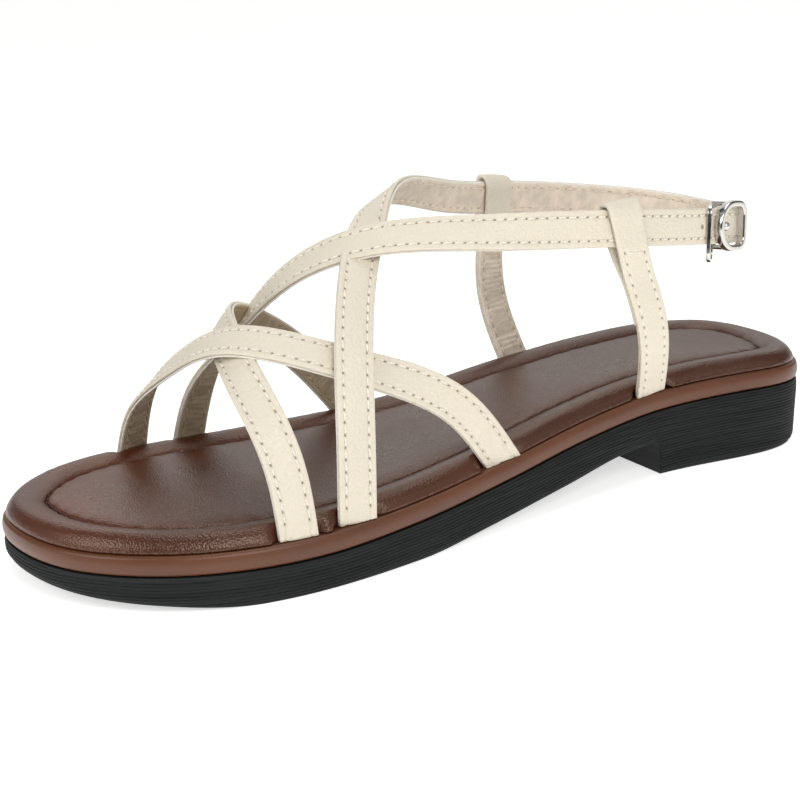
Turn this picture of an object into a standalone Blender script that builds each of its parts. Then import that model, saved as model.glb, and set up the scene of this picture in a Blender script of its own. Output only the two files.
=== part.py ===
# Cross strap sandal, left shoe: leather straps over a padded insole, a leather rand and a rubber outsole.
# Metres, +X from heel to toe, +Y to the outer side of the foot, +Z up, the ground at Z = 0.
import math

import bmesh
import bpy
import numpy as np
from mathutils import Matrix, Vector

# Main sizes
LENGTH = 0.249
BALL_WIDTH = 0.092
SEAT_HEIGHT = 0.0209
ANKLE_HEIGHT = 0.0790
RAND_THICKNESS = 0.0053
PAD_RISE = 0.0044
PAD_INSET = 0.0025
PAD_ROLL_WIDTH = 0.0096
STRAP_WIDTH = 0.0103
STRAP_THICKNESS = 0.0021
STRAP_INSET = 0.0027
TAB_THICKNESS = 0.0024
TAB_WALL = 0.0012
BUCKLE_LENGTH = 0.0140
BUCKLE_HEIGHT = 0.0148
BUCKLE_BAR = 0.0017
PIN_RADIUS = 0.0007
LOOP_WIRE = 0.0011
PART_GAP = 0.0003
LOOP_CLEARANCE = 0.0006
TAB_BOW = 0.0045
OUTER_TAB_SWAY = -0.0008
INNER_TAB_SWAY = 0.0019
OUTER_TAB_LEAN = 13.5
INNER_TAB_LEAN = 14.0
FRAME_DEPTH = 0.0024
FRAME_FRONT_CORNER = 0.0060
FRAME_REAR_CORNER = 0.0034
FOLD_WALL = 0.0009
PRONG_BALL = 0.0012
PRONG_EYE = 0.0020
PRONG_EYE_WALL = 0.0006
LOOP_HEIGHT = 0.0167
LOOP_DEPTH = 0.0080
LOOP_CORNER = 0.0024
LOOP_DROP = 0.0020
LOOP_LEAN = -52.0

# Number of stations along the sole, and of sections along one strap
STATIONS = 36
STRAP_SECTIONS = 56

# Outline of the sole: station along the length, outer and inner edge as shares of the ball width
OUTLINE = (
    (0.000, -0.024, -0.024),
    (0.017, 0.194, -0.196),
    (0.067, 0.323, -0.299),
    (0.146, 0.335, -0.337),
    (0.250, 0.307, -0.342),
    (0.371, 0.342, -0.338),
    (0.500, 0.406, -0.357),
    (0.629, 0.471, -0.428),
    (0.750, 0.498, -0.492),
    (0.854, 0.445, -0.489),
    (0.933, 0.318, -0.409),
    (0.983, 0.128, -0.270),
    (1.000, -0.109, -0.109),
)

# Top of the outsole: station along the length, height as a share of the seat height
SEAM = (
    (0.000, 0.910),
    (0.067, 0.966),
    (0.146, 1.000),
    (0.250, 0.961),
    (0.371, 0.844),
    (0.500, 0.641),
    (0.629, 0.497),
    (0.750, 0.439),
    (0.854, 0.454),
    (0.933, 0.480),
    (1.000, 0.491),
)

# Underside of the outsole with the heel breast, the arch and the toe spring, in the same shares
UNDERSIDE = (
    (0.000, 0.000),
    (0.256, 0.000),
    (0.260, 0.440),
    (0.268, 0.487),
    (0.290, 0.482),
    (0.407, 0.282),
    (0.527, 0.100),
    (0.620, 0.000),
    (0.800, 0.000),
    (0.909, 0.120),
    (1.000, 0.254),
)

# Side of the outsole: share of the depth from the underside up, inset as a share of the seat height
OUTSOLE_SIDE = ((0.00, 0.096), (0.10, 0.053), (0.50, 0.029), (0.90, 0.010), (1.00, 0.024))

# Side of the rand: share of its thickness from the underside up, inset as a share of its thickness
RAND_SIDE = ((0.00, 0.208), (0.16, 0.057), (0.50, 0.000), (0.84, 0.057), (1.00, 0.208))

# Roll round the insole: share of the roll width from its outer edge, share of the pad rise
PAD_ROLL = (
    (0.00, 0.00),
    (-0.04, 0.27),
    (0.02, 0.62),
    (0.16, 0.90),
    (0.36, 1.00),
    (0.62, 0.93),
    (0.86, 0.74),
    (1.00, 0.55),
)

# Panel inside the roll: share of the way to the spine of the panel, share of the pad rise
PAD_PANEL = ((0.12, 0.68), (0.35, 0.76), (0.75, 0.80))

# Strap routes: station along the length, offset as a share of the ball width, height as a share of the
# ankle height, and the way the outer face looks: turn from +Y towards +X and rise, both in degrees.
# The height of a row marked None is that of the rand.
STRAP_A = (
    (0.814, None, None, 162, 0),
    (0.809, -0.370, 0.420, 150, 18),
    (0.790, -0.135, 0.632, 108, 46),
    (0.760, 0.108, 0.745, 68, 58),
    (0.664, 0.322, 0.662, 4, 45),
    (0.554, 0.380, 0.474, 0, 6),
    (0.499, None, None, 0, 0),
)
STRAP_B = (
    (0.762, None, None, 6, 0),
    (0.762, 0.405, 0.410, 10, 8),
    (0.768, 0.240, 0.624, 40, 26),
    (0.757, 0.031, 0.719, 82, 36),
    (0.722, -0.188, 0.738, 128, 34),
    (0.633, -0.321, 0.571, 166, 14),
    (0.541, None, None, 180, 0),
)
STRAP_C = (
    (0.695, None, None, 5, 0),
    (0.687, 0.441, 0.432, 4, 6),
    (0.656, 0.303, 0.761, 8, 20),
    (0.601, 0.093, 0.979, 26, 34),
    (0.533, -0.092, 1.112, 105, 46),
    (0.484, -0.180, 1.098, 142, 40),
    (0.412, -0.262, 1.036, 162, 24),
    (0.322, -0.329, 0.990, 178, 12),
    (0.196, -0.322, 0.930, 192, 8),
    (0.111, -0.204, 0.884, 226, 6),
    (0.089, -0.079, 0.866, 258, 4),
    (0.095, 0.031, 0.868, 283, 3),
    (0.102, 0.116, 0.874, 303, 2),
    (0.117, 0.183, 0.880, 322, 2),
    (0.135, 0.219, 0.888, 335, 2),
    (0.147, 0.229, 0.894, 340, 2),
    (0.1621, 0.2407, 0.8995, 342, 3),
)
STRAP_D = (
    (0.745, None, None, 168, 0),
    (0.729, -0.417, 0.420, 160, 12),
    (0.694, -0.262, 0.686, 116, 34),
    (0.655, -0.056, 0.904, 84, 44),
    (0.599, 0.121, 1.009, 54, 46),
    (0.504, 0.245, 1.016, 28, 36),
    (0.405, 0.302, 0.992, 12, 18),
    (0.303, 0.330, 0.962, 0, 8),
    (0.205, 0.307, 0.922, -11, 4),
    (0.159, 0.275, 0.902, -17, 3),
    (0.129, 0.243, 0.888, -28, 2),
    (0.107, 0.195, 0.880, -45, 2),
    (0.090, 0.120, 0.874, -66, 2),
    (0.0855, 0.040, 0.870, -86, 2),
)

# Quarter tabs: station of the foot of the tab, and where along the ankle strap its loop sits
OUTER_TAB_STATION = 0.270
OUTER_TAB_LOOP = 0.318
INNER_TAB_STATION = 0.313
INNER_TAB_LOOP = 0.337

# Shank of the prong as shares of the buckle length: to the front, outwards
SHANK_FROM_PIN = ((0.071, 0.050), (0.100, 0.129))
SHANK_FROM_STRAP = ((0.114, 0.000), (0.136, 0.100), (0.179, 0.171), (0.243, 0.200))

# Buckle: where it sits along strap D, and the metal loop in front of it
BUCKLE_STATION = 0.159
LOOP_STATION = 0.1845


def clear_scene():
    """Remove every object and mesh of the scene."""
    for obj in list(bpy.data.objects):
        bpy.data.objects.remove(obj, do_unlink=True)
    for mesh in list(bpy.data.meshes):
        bpy.data.meshes.remove(mesh)


def smooth_curve(knots, values):
    """Natural cubic spline through the values, as a function that takes an array."""
    knots = np.array(knots, float)
    values = np.array(values, float)
    count = len(knots)
    step = np.diff(knots)
    system = np.eye(count)
    right = np.zeros((count,) + values.shape[1:])
    for i in range(1, count - 1):
        system[i, i - 1] = step[i - 1]
        system[i, i] = 2.0 * (step[i - 1] + step[i])
        system[i, i + 1] = step[i]
        ahead = (values[i + 1] - values[i]) / step[i]
        behind = (values[i] - values[i - 1]) / step[i - 1]
        right[i] = 6.0 * (ahead - behind)
    bend = np.linalg.solve(system, right.reshape(count, -1)).reshape(right.shape)

    def at(where):
        where = np.atleast_1d(np.array(where, float))
        index = np.clip(np.searchsorted(knots, where) - 1, 0, count - 2)
        width = step[index]
        left = (knots[index + 1] - where) / width
        near = (where - knots[index]) / width
        if values.ndim > 1:
            left = left[:, None]
            near = near[:, None]
            width = width[:, None]
        straight = left * values[index] + near * values[index + 1]
        curve = (left ** 3 - left) * bend[index] + (near ** 3 - near) * bend[index + 1]
        return straight + curve * width ** 2 / 6.0

    return at


def steady_curve(rows):
    """Cubic through the rows of a table that never overshoots them."""
    knots = np.array([row[0] for row in rows], float)
    values = np.array([row[1] for row in rows], float)
    step = np.diff(knots)
    grade = np.diff(values) / step
    slope = np.zeros(len(knots))
    for i in range(1, len(knots) - 1):
        if grade[i - 1] * grade[i] > 0.0:
            slope[i] = 2.0 * grade[i - 1] * grade[i] / (grade[i - 1] + grade[i])
    slope[0] = grade[0]
    slope[-1] = grade[-1]

    def at(where):
        where = np.clip(np.atleast_1d(np.array(where, float)), knots[0], knots[-1])
        index = np.clip(np.searchsorted(knots, where) - 1, 0, len(knots) - 2)
        width = step[index]
        t = (where - knots[index]) / width
        start = (2 * t ** 3 - 3 * t ** 2 + 1) * values[index]
        start = start + (t ** 3 - 2 * t ** 2 + t) * width * slope[index]
        end = (3 * t ** 2 - 2 * t ** 3) * values[index + 1]
        return start + end + (t ** 3 - t ** 2) * width * slope[index + 1]

    return at


SEAM_CURVE = steady_curve(SEAM)
UNDERSIDE_CURVE = steady_curve(UNDERSIDE)


def station_of(x):
    """Share of the length at a distance along the shoe."""
    return np.clip(np.array(x, float) / LENGTH + 0.5, 0.0, 1.0)


def seam_height(x):
    """Height of the top of the outsole."""
    return SEAM_CURVE(station_of(x)) * SEAT_HEIGHT


def underside_height(x):
    """Height of the underside of the outsole, 0 where it stands on the ground."""
    return UNDERSIDE_CURVE(station_of(x)) * SEAT_HEIGHT


def rand_top(x):
    """Height of the top of the rand."""
    return seam_height(x) + PART_GAP + RAND_THICKNESS


def edge_curve(column):
    """Outer or inner edge of the sole over the angle that runs from heel to toe."""
    angles = [math.acos(1.0 - 2.0 * row[0]) for row in OUTLINE]
    edge = [row[column] * BALL_WIDTH for row in OUTLINE]
    mirror_column = 3 - column
    mirror = [row[mirror_column] * BALL_WIDTH for row in OUTLINE]
    before = [-angles[2], -angles[1]]
    after = [2.0 * math.pi - angles[-2], 2.0 * math.pi - angles[-3]]
    knots = before + angles + after
    values = [mirror[2], mirror[1]] + edge + [mirror[-2], mirror[-3]]
    return smooth_curve(knots, values)


OUTER_EDGE = edge_curve(1)
INNER_EDGE = edge_curve(2)


def edge_at(station, side):
    """Edge of the sole at a station, on the outer (+1) or inner (-1) side."""
    angle = math.acos(1.0 - 2.0 * station)
    curve = OUTER_EDGE if side > 0 else INNER_EDGE
    return float(curve(angle)[0])


def sole_angles():
    """Angles of the stations, with a few more at the heel breast."""
    angles = list(np.linspace(0.0, math.pi, STATIONS + 1))
    breast = [row[0] for row in UNDERSIDE[1:4]]
    breast.append(0.5 * (breast[0] + breast[1]))
    extra = [math.acos(1.0 - 2.0 * share) for share in breast]
    kept = [a for a in angles if min(abs(a - e) for e in extra) > 0.02]
    return np.array(sorted(kept + extra))


def sole_ring(inset):
    """Outline of the sole moved inwards, from the heel round the outer side to the toe and back."""
    angles = sole_angles()
    along = 0.5 * LENGTH * (-np.cos(angles))
    outer = np.stack([along, OUTER_EDGE(angles)], axis=1)
    inner = np.stack([along, INNER_EDGE(angles)], axis=1)[1:-1][::-1]
    ring = np.concatenate([outer, inner])
    tangent = np.roll(ring, -1, axis=0) - np.roll(ring, 1, axis=0)
    tangent = tangent / np.linalg.norm(tangent, axis=1)[:, None]
    inward = np.stack([tangent[:, 1], -tangent[:, 0]], axis=1)
    return ring + inward * inset


def link(name, verts, faces, smooth=True):
    """Make a mesh object from vertices and faces, with its faces looking outwards."""
    mesh = bpy.data.meshes.new(name)
    mesh.from_pydata([tuple(float(c) for c in v) for v in verts], [], faces)
    work = bmesh.new()
    work.from_mesh(mesh)
    bmesh.ops.recalc_face_normals(work, faces=work.faces)
    work.to_mesh(mesh)
    work.free()
    for polygon in mesh.polygons:
        polygon.use_smooth = smooth
    obj = bpy.data.objects.new(name, mesh)
    bpy.context.scene.collection.objects.link(obj)
    return obj


def plate(name, rings):
    """Close a stack of sole rings with strips from side to side under and above."""
    count = len(rings[0])
    half = count // 2
    verts = np.concatenate(rings)
    faces = []
    for level in range(len(rings) - 1):
        low = level * count
        high = low + count
        for i in range(count):
            j = (i + 1) % count
            faces.append((low + i, low + j, high + j, high + i))
    top = (len(rings) - 1) * count
    for base in (0, top):
        faces.append((base, base + 1, base + count - 1))
        for i in range(1, half - 1):
            left = base + i
            right = base + count - i
            faces.append((left, left + 1, right - 1, right))
        faces.append((base + half - 1, base + half, base + half + 1))
    return link(name, verts, faces)


def outsole():
    """Rubber outsole with its heel block, arch and toe spring."""
    rings = []
    for share, inset in OUTSOLE_SIDE:
        ring = sole_ring(inset * SEAT_HEIGHT)
        low = underside_height(ring[:, 0])
        high = seam_height(ring[:, 0])
        rings.append(np.column_stack([ring, low + (high - low) * share]))
    return plate("outsole", rings)


def midsole():
    """Leather covered rand that shows as a rounded band round the shoe."""
    rings = []
    for share, inset in RAND_SIDE:
        ring = sole_ring(inset * RAND_THICKNESS)
        level = seam_height(ring[:, 0]) + PART_GAP + RAND_THICKNESS * share
        rings.append(np.column_stack([ring, level]))
    return plate("midsole", rings)


def insole():
    """Padded insole: a roll round the edge and a low cushioned panel inside it."""
    rings = []
    for share, rise in PAD_ROLL:
        ring = sole_ring(PAD_INSET + PAD_ROLL_WIDTH * share)
        level = rand_top(ring[:, 0]) + PART_GAP + PAD_RISE * rise
        rings.append(np.column_stack([ring, level]))
    channel = sole_ring(PAD_INSET + PAD_ROLL_WIDTH)
    mirrored = np.roll(channel[::-1], 1, axis=0)
    half_width = STRAP_WIDTH * 2.0
    reach = 0.5 * LENGTH - PAD_INSET - PAD_ROLL_WIDTH - half_width
    spine_x = np.clip(channel[:, 0], -reach, reach)
    spine_y = 0.5 * (channel[:, 1] + mirrored[:, 1])
    spine = np.stack([spine_x, spine_y], axis=1)
    for share, rise in PAD_PANEL:
        ring = channel + (spine - channel) * share
        level = rand_top(ring[:, 0]) + PART_GAP + PAD_RISE * rise
        rings.append(np.column_stack([ring, level]))
    return plate("insole", rings)


def foot_point(station, side):
    """Point on the rand where a strap or tab goes in under the insole."""
    x = (station - 0.5) * LENGTH
    y = edge_at(station, side) - side * STRAP_INSET
    z = float(rand_top(x)[0]) + PART_GAP
    return Vector((x, y, z))


def facing(turn, rise):
    """Direction from its turn (from +Y towards +X) and its rise above level, in degrees."""
    turn = math.radians(turn)
    rise = math.radians(rise)
    return Vector((math.sin(turn) * math.cos(rise), math.cos(turn) * math.cos(rise), math.sin(rise)))


def route(rows):
    """Sections of a strap: point, tangent, outer face direction and width direction."""
    points = []
    for station, offset, height, turn, _rise in rows:
        if height is None:
            side = 1 if math.cos(math.radians(turn)) > 0.0 else -1
            points.append(foot_point(station, side))
        else:
            x = (station - 0.5) * LENGTH
            points.append(Vector((x, offset * BALL_WIDTH, height * ANKLE_HEIGHT)))
    chords = [0.0]
    for a, b in zip(points, points[1:]):
        chords.append(chords[-1] + (b - a).length)
    centre = smooth_curve(chords, [tuple(p) for p in points])
    looks = smooth_curve(chords, [(row[3], row[4]) for row in rows])
    along = np.linspace(0.0, chords[-1], STRAP_SECTIONS)
    step = chords[-1] / STRAP_SECTIONS * 0.2
    sections = []
    for s in along:
        point = Vector(centre(s)[0])
        ahead = Vector(centre(min(s + step, chords[-1]))[0])
        behind = Vector(centre(max(s - step, 0.0))[0])
        tangent = (ahead - behind).normalized()
        turn, rise = looks(s)[0]
        out = facing(turn, rise)
        out = (out - tangent * out.dot(tangent)).normalized()
        sections.append((point, tangent, out, out.cross(tangent).normalized()))
    return sections


def band_profile(width, thickness):
    """Rectangle with blunted corners, across the width and the thickness."""
    w = 0.5 * width
    t = 0.5 * thickness
    c = 0.28 * thickness
    return (
        (w, t - c), (w - c, t), (0.0, t), (-w + c, t), (-w, t - c),
        (-w, -t + c), (-w + c, -t), (0.0, -t), (w - c, -t), (w, -t + c),
    )


def sweep(name, sections, profile, stand_first=False, stand_last=False):
    """Solid with the profile carried along the sections; an end that stands is cut level with the rand."""
    verts = []
    last = len(sections) - 1
    for index, (point, tangent, out, across) in enumerate(sections):
        standing = (index == 0 and stand_first) or (index == last and stand_last)
        for w, t in profile:
            corner = point + across * w + out * t
            if standing:
                bed = float(rand_top(corner.x)[0]) + PART_GAP
                corner = corner + tangent * ((bed - corner.z) / tangent.z)
            verts.append(corner)
    count = len(profile)
    faces = []
    for level in range(last):
        low = level * count
        for i in range(count):
            j = (i + 1) % count
            faces.append((low + i, low + j, low + count + j, low + count + i))
    faces.append(tuple(range(count)))
    faces.append(tuple(last * count + i for i in range(count)))
    return link(name, verts, faces)


def tube(name, path, radius, sides=12):
    """Round bar along a path of points, with flat ends."""
    path = [Vector(p) for p in path]
    verts = []
    side = None
    for index, point in enumerate(path):
        ahead = path[min(index + 1, len(path) - 1)]
        behind = path[max(index - 1, 0)]
        tangent = (ahead - behind).normalized()
        if side is None:
            side = tangent.orthogonal().normalized()
        side = (side - tangent * side.dot(tangent)).normalized()
        other = tangent.cross(side)
        for k in range(sides):
            angle = 2.0 * math.pi * k / sides
            verts.append(point + side * math.cos(angle) * radius + other * math.sin(angle) * radius)
    faces = []
    for level in range(len(path) - 1):
        low = level * sides
        for i in range(sides):
            j = (i + 1) % sides
            faces.append((low + i, low + j, low + sides + j, low + sides + i))
    faces.append(tuple(range(sides)))
    faces.append(tuple((len(path) - 1) * sides + i for i in range(sides)))
    return link(name, verts, faces)


def ring_bar(name, path, radius_in, radius_out, out, sides=10):
    """Closed ring of an oval bar: half width in the ring's plane and half thickness along out."""
    path = [Vector(p) for p in path]
    centre = sum(path, Vector()) / len(path)
    verts = []
    count = len(path)
    for index, point in enumerate(path):
        tangent = (path[(index + 1) % count] - path[index - 1]).normalized()
        side = tangent.cross(out).normalized()
        if side.dot(point - centre) < 0.0:
            side = -side
        for k in range(sides):
            angle = 2.0 * math.pi * k / sides
            verts.append(point + side * math.cos(angle) * radius_in + out * math.sin(angle) * radius_out)
    faces = []
    for level in range(count):
        low = level * sides
        high = ((level + 1) % count) * sides
        for i in range(sides):
            j = (i + 1) % sides
            faces.append((low + i, low + j, high + j, high + i))
    return link(name, verts, faces)


def combine(target, other, operation):
    """Apply a Boolean of another object to the target and remove that other object."""
    modifier = target.modifiers.new(operation.lower(), "BOOLEAN")
    modifier.operation = operation
    modifier.solver = "EXACT"
    modifier.object = other
    bpy.context.view_layer.update()
    graph = bpy.context.evaluated_depsgraph_get()
    result = bpy.data.meshes.new_from_object(target.evaluated_get(graph))
    target.modifiers.clear()
    target.data = result
    bpy.data.objects.remove(other, do_unlink=True)
    return target


def nearest_section(sections, station, from_end=False):
    """Section of a strap whose centre is at a station."""
    x = (station - 0.5) * LENGTH
    order = list(reversed(sections)) if from_end else list(sections)
    for first, second in zip(order, order[1:]):
        if (first[0].x - x) * (second[0].x - x) <= 0.0 and first[0].x != second[0].x:
            share = (x - first[0].x) / (second[0].x - first[0].x)
            mixed = [first[k].lerp(second[k], share) for k in range(4)]
            return (mixed[0], mixed[1].normalized(), mixed[2].normalized(), mixed[3].normalized())
    raise ValueError("no section at this station")


def run_of(sections, anchor, width):
    """Five sections of a strap that span a width along it, centred on an anchor section."""
    reach = [0.0]
    for first, second in zip(sections, sections[1:]):
        reach.append(reach[-1] + (second[0] - first[0]).length)
    near = min(range(len(sections)), key=lambda i: (sections[i][0] - anchor[0]).length)
    middle = reach[near] + (anchor[0] - sections[near][0]).dot(sections[near][1])
    run = []
    for k in range(5):
        where = middle + width * (k / 4.0 - 0.5)
        index = max(i for i in range(len(reach) - 1) if reach[i] <= where)
        share = (where - reach[index]) / (reach[index + 1] - reach[index])
        first = sections[index]
        second = sections[index + 1]
        run.append(tuple(first[n].lerp(second[n], share) for n in range(4)))
    return run


def quarter_tab(name, foot_station, side, strap, anchor, lean, sway):
    """Tab that stands on the rand and loops round the ankle strap, its loop leaning towards the toe."""
    point, tangent, out, across = anchor
    if across.z < 0.0:
        across = -across
    half_out = 0.5 * STRAP_THICKNESS + LOOP_CLEARANCE
    half_up = 0.5 * STRAP_WIDTH + LOOP_CLEARANCE
    ways = ((half_out, half_up), (half_out + TAB_WALL, half_up + TAB_WALL))
    loops = []
    for reach_out, reach_up in ways:
        round_by = 0.45 * reach_out
        corners = []
        for sx, sy, start in ((1, 1, 0), (-1, 1, 90), (-1, -1, 180), (1, -1, 270)):
            for k in range(4):
                angle = math.radians(start + 30.0 * k)
                corners.append((
                    sx * (reach_out - round_by) + round_by * math.cos(angle),
                    sy * (reach_up - round_by) + round_by * math.sin(angle),
                ))
        loops.append(corners)
    count = len(loops[0])
    verts = []
    slices = run_of(strap, anchor, STRAP_WIDTH)
    slope = math.tan(math.radians(lean))
    for here, way, face, wide in slices:
        up = wide if wide.z > 0.0 else -wide
        toe = way if way.x > 0.0 else -way
        for corners in loops:
            for a, b in corners:
                verts.append(here + face * a + (up + toe * slope) * b)
    faces = []
    ring = 2 * count
    for i in range(count):
        j = (i + 1) % count
        for level in range(len(slices) - 1):
            low = level * ring
            high = low + ring
            faces.append((low + i, low + j, high + j, high + i))
            faces.append((low + count + i, low + count + j, high + count + j, high + count + i))
        last = (len(slices) - 1) * ring
        faces.append((i, j, count + j, count + i))
        faces.append((last + i, last + j, last + count + j, last + count + i))
    loop = link(name, verts, faces)
    foot = foot_point(foot_station, side)
    toe = tangent if tangent.x > 0.0 else -tangent
    head = point - (across + toe * slope) * (half_up + 0.95 * TAB_WALL)
    middle = foot.lerp(head, 0.5) + Vector((sway, side * TAB_BOW, 0.0))
    knots = [0.0, (middle - foot).length, (middle - foot).length + (head - middle).length]
    centre = smooth_curve(knots, [tuple(foot), tuple(middle), tuple(head)])
    level = Vector((0.0, float(side), 0.0))
    sections = []
    for k in range(13):
        s = knots[-1] * k / 12.0
        here = Vector(centre(s)[0])
        ahead = Vector(centre(min(s + 0.001, knots[-1]))[0])
        behind = Vector(centre(max(s - 0.001, 0.0))[0])
        way = (ahead - behind).normalized()
        face = level.lerp(out, k / 12.0)
        face = (face - way * face.dot(way)).normalized()
        wide = face.cross(way).normalized()
        level_way = toe if toe.dot(wide) > 0.0 else -toe
        wide = wide.lerp(level_way, max(0.0, (k - 7) / 5.0)).normalized()
        sections.append((here, way, face, wide))
    profile = band_profile(STRAP_WIDTH, TAB_THICKNESS)
    stem = sweep(name + "_stem", sections, profile, stand_first=True)
    return combine(loop, stem, "UNION"), sections


def frame_path(point, tangent, out, across, half_long, half_up, lift, front_corner, rear_corner):
    """Rounded rectangle in the plane of a strap, lifted off its centre line."""
    path = []
    for sx, sy, start in ((1, 1, 0), (-1, 1, 90), (-1, -1, 180), (1, -1, 270)):
        for k in range(6):
            angle = math.radians(start + 18.0 * k)
            corner = front_corner if sx > 0 else rear_corner
            a = sx * (half_long - corner) + corner * math.cos(angle)
            b = sy * (half_up - corner) + corner * math.sin(angle)
            path.append(point + tangent * a + across * b + out * lift)
    return path


def material(name, colour, roughness, metallic=0.0):
    """Plain material for a sub-part."""
    found = bpy.data.materials.new(name)
    found.use_nodes = True
    shader = found.node_tree.nodes["Principled BSDF"]
    shader.inputs["Base Color"].default_value = (colour[0], colour[1], colour[2], 1.0)
    shader.inputs["Roughness"].default_value = roughness
    shader.inputs["Metallic"].default_value = metallic
    return found


def build():
    """Build every sub-part of the sandal."""
    clear_scene()
    rubber = outsole()
    rand = midsole()
    pad = insole()

    # Straps and their joined upper
    profile = band_profile(STRAP_WIDTH, STRAP_THICKNESS)
    routes = {"a": route(STRAP_A), "b": route(STRAP_B), "c": route(STRAP_C), "d": route(STRAP_D)}
    strap_a = sweep("strap_a", routes["a"], profile, stand_first=True, stand_last=True)
    strap_b = sweep("strap_b", routes["b"], profile, stand_first=True, stand_last=True)
    strap_c = sweep("strap_c", routes["c"], profile, stand_first=True)
    strap_d = sweep("strap_d", routes["d"], profile, stand_first=True)

    # Frame of the buckle: a along the strap to the front, out from the ankle, up across the strap
    centre, tangent, out, across = nearest_section(routes["d"], BUCKLE_STATION, from_end=True)
    if across.z < 0.0:
        across = -across
    front = tangent if tangent.x > 0.0 else -tangent
    bar_half = 0.5 * BUCKLE_BAR
    bar_depth = 0.5 * FRAME_DEPTH
    lift = 0.5 * STRAP_THICKNESS + 1.5 * PART_GAP + bar_depth
    pin_drop = -(0.5 * STRAP_THICKNESS + 2.0 * PART_GAP + PIN_RADIUS + FOLD_WALL)
    half_long = 0.5 * BUCKLE_LENGTH - bar_half
    half_up = 0.5 * BUCKLE_HEIGHT - bar_half
    path = frame_path(
        centre, front, out, across, half_long, half_up, lift, FRAME_FRONT_CORNER, FRAME_REAR_CORNER)
    frame = ring_bar("buckle_frame", path, bar_half, bar_depth, out)
    pin = centre - front * (0.014 * BUCKLE_LENGTH) + out * pin_drop
    post_up = 0.985 * half_up
    for sign in (1.0, -1.0):
        foot = pin + across * (sign * post_up)
        post = tube("post", [foot - out * PIN_RADIUS, centre + across * (sign * post_up) + out * lift],
                    PIN_RADIUS)
        frame = combine(frame, post, "UNION")
    rod = tube("rod", [pin - across * (1.01 * half_up), pin + across * (1.01 * half_up)], PIN_RADIUS * 0.96)
    frame = combine(frame, rod, "UNION")

    # Prong: an eye on the centre pin, a shank through the strap and a ball at the tip
    shank = []
    for start, rows in ((pin, SHANK_FROM_PIN), (centre, SHANK_FROM_STRAP)):
        for forth, lift_share in rows:
            shank.append(start + (front * forth + out * lift_share) * BUCKLE_LENGTH)
    prong = tube("buckle_prong", shank, PIN_RADIUS * 0.9)
    ball = bpy.data.meshes.new("ball")
    work = bmesh.new()
    bmesh.ops.create_uvsphere(work, u_segments=16, v_segments=10, radius=PRONG_BALL)
    work.to_mesh(ball)
    work.free()
    ball_object = bpy.data.objects.new("ball", ball)
    bpy.context.scene.collection.objects.link(ball_object)
    ball.transform(Matrix.Translation(shank[-1]))
    prong = combine(prong, ball_object, "UNION")
    bore_radius = PIN_RADIUS + PART_GAP
    half_eye = across * (0.5 * PRONG_EYE)
    eye = tube("eye", [pin - half_eye, pin + half_eye], bore_radius + PRONG_EYE_WALL - PART_GAP, 20)
    prong = combine(prong, eye, "UNION")
    bore = tube("bore", [pin - half_eye * 2.0, pin + half_eye * 2.0], bore_radius, 16)
    prong = combine(prong, bore, "DIFFERENCE")

    # Fold at the end of strap C round the centre pin
    fold_radius = bore_radius + FOLD_WALL
    half_strap = across * (0.5 * STRAP_WIDTH)
    fold = tube("fold", [pin - half_strap, pin + half_strap], fold_radius, 20)
    strap_c = combine(strap_c, fold, "UNION")
    bore = tube("bore", [pin - half_strap * 1.6, pin + half_strap * 1.6], bore_radius, 16)
    strap_c = combine(strap_c, bore, "DIFFERENCE")
    slot = tube("slot", [pin - half_eye * 1.3, pin + half_eye * 1.3], fold_radius * 1.37, 20)
    strap_c = combine(strap_c, slot, "DIFFERENCE")

    # Hole for the prong in strap D
    hole = tube("hole", [shank[1], shank[2], shank[3]], PIN_RADIUS * 0.9 + PART_GAP, 14)
    strap_d = combine(strap_d, hole, "DIFFERENCE")

    upper = strap_d
    upper.name = "upper"
    upper.data.name = "upper"
    for strap in (strap_c, strap_b, strap_a):
        upper = combine(upper, strap, "UNION")

    # Metal loop that hangs on strap D in front of the buckle
    point, tangent, out, across = nearest_section(routes["d"], LOOP_STATION, from_end=True)
    if across.z < 0.0:
        across = -across
    wire = 0.5 * LOOP_WIRE
    half_deep = 0.5 * LOOP_DEPTH - 0.8 * wire
    half_high = 0.5 * LOOP_HEIGHT - 0.8 * wire
    front = tangent if tangent.x > 0.0 else -tangent
    lean = math.radians(LOOP_LEAN)
    forth = out * math.cos(lean) - front * math.sin(lean)
    low = point - across * LOOP_DROP
    path = frame_path(low, forth, front, across, half_deep, half_high, 0.0, LOOP_CORNER, LOOP_CORNER)
    loop = ring_bar("strap_loop", path, wire * 0.8, wire * 1.4, forth.cross(across).normalized())

    # Quarter tabs with their loops round the ankle strap
    anchor = nearest_section(routes["d"], OUTER_TAB_LOOP, from_end=True)
    outer_tab, outer_stem = quarter_tab(
        "quarter_tab_outer", OUTER_TAB_STATION, 1, routes["d"], anchor, OUTER_TAB_LEAN, OUTER_TAB_SWAY)
    anchor = nearest_section(routes["c"], INNER_TAB_LOOP)
    inner_tab, inner_stem = quarter_tab(
        "quarter_tab_inner", INNER_TAB_STATION, -1, routes["c"], anchor, INNER_TAB_LEAN, INNER_TAB_SWAY)

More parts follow.
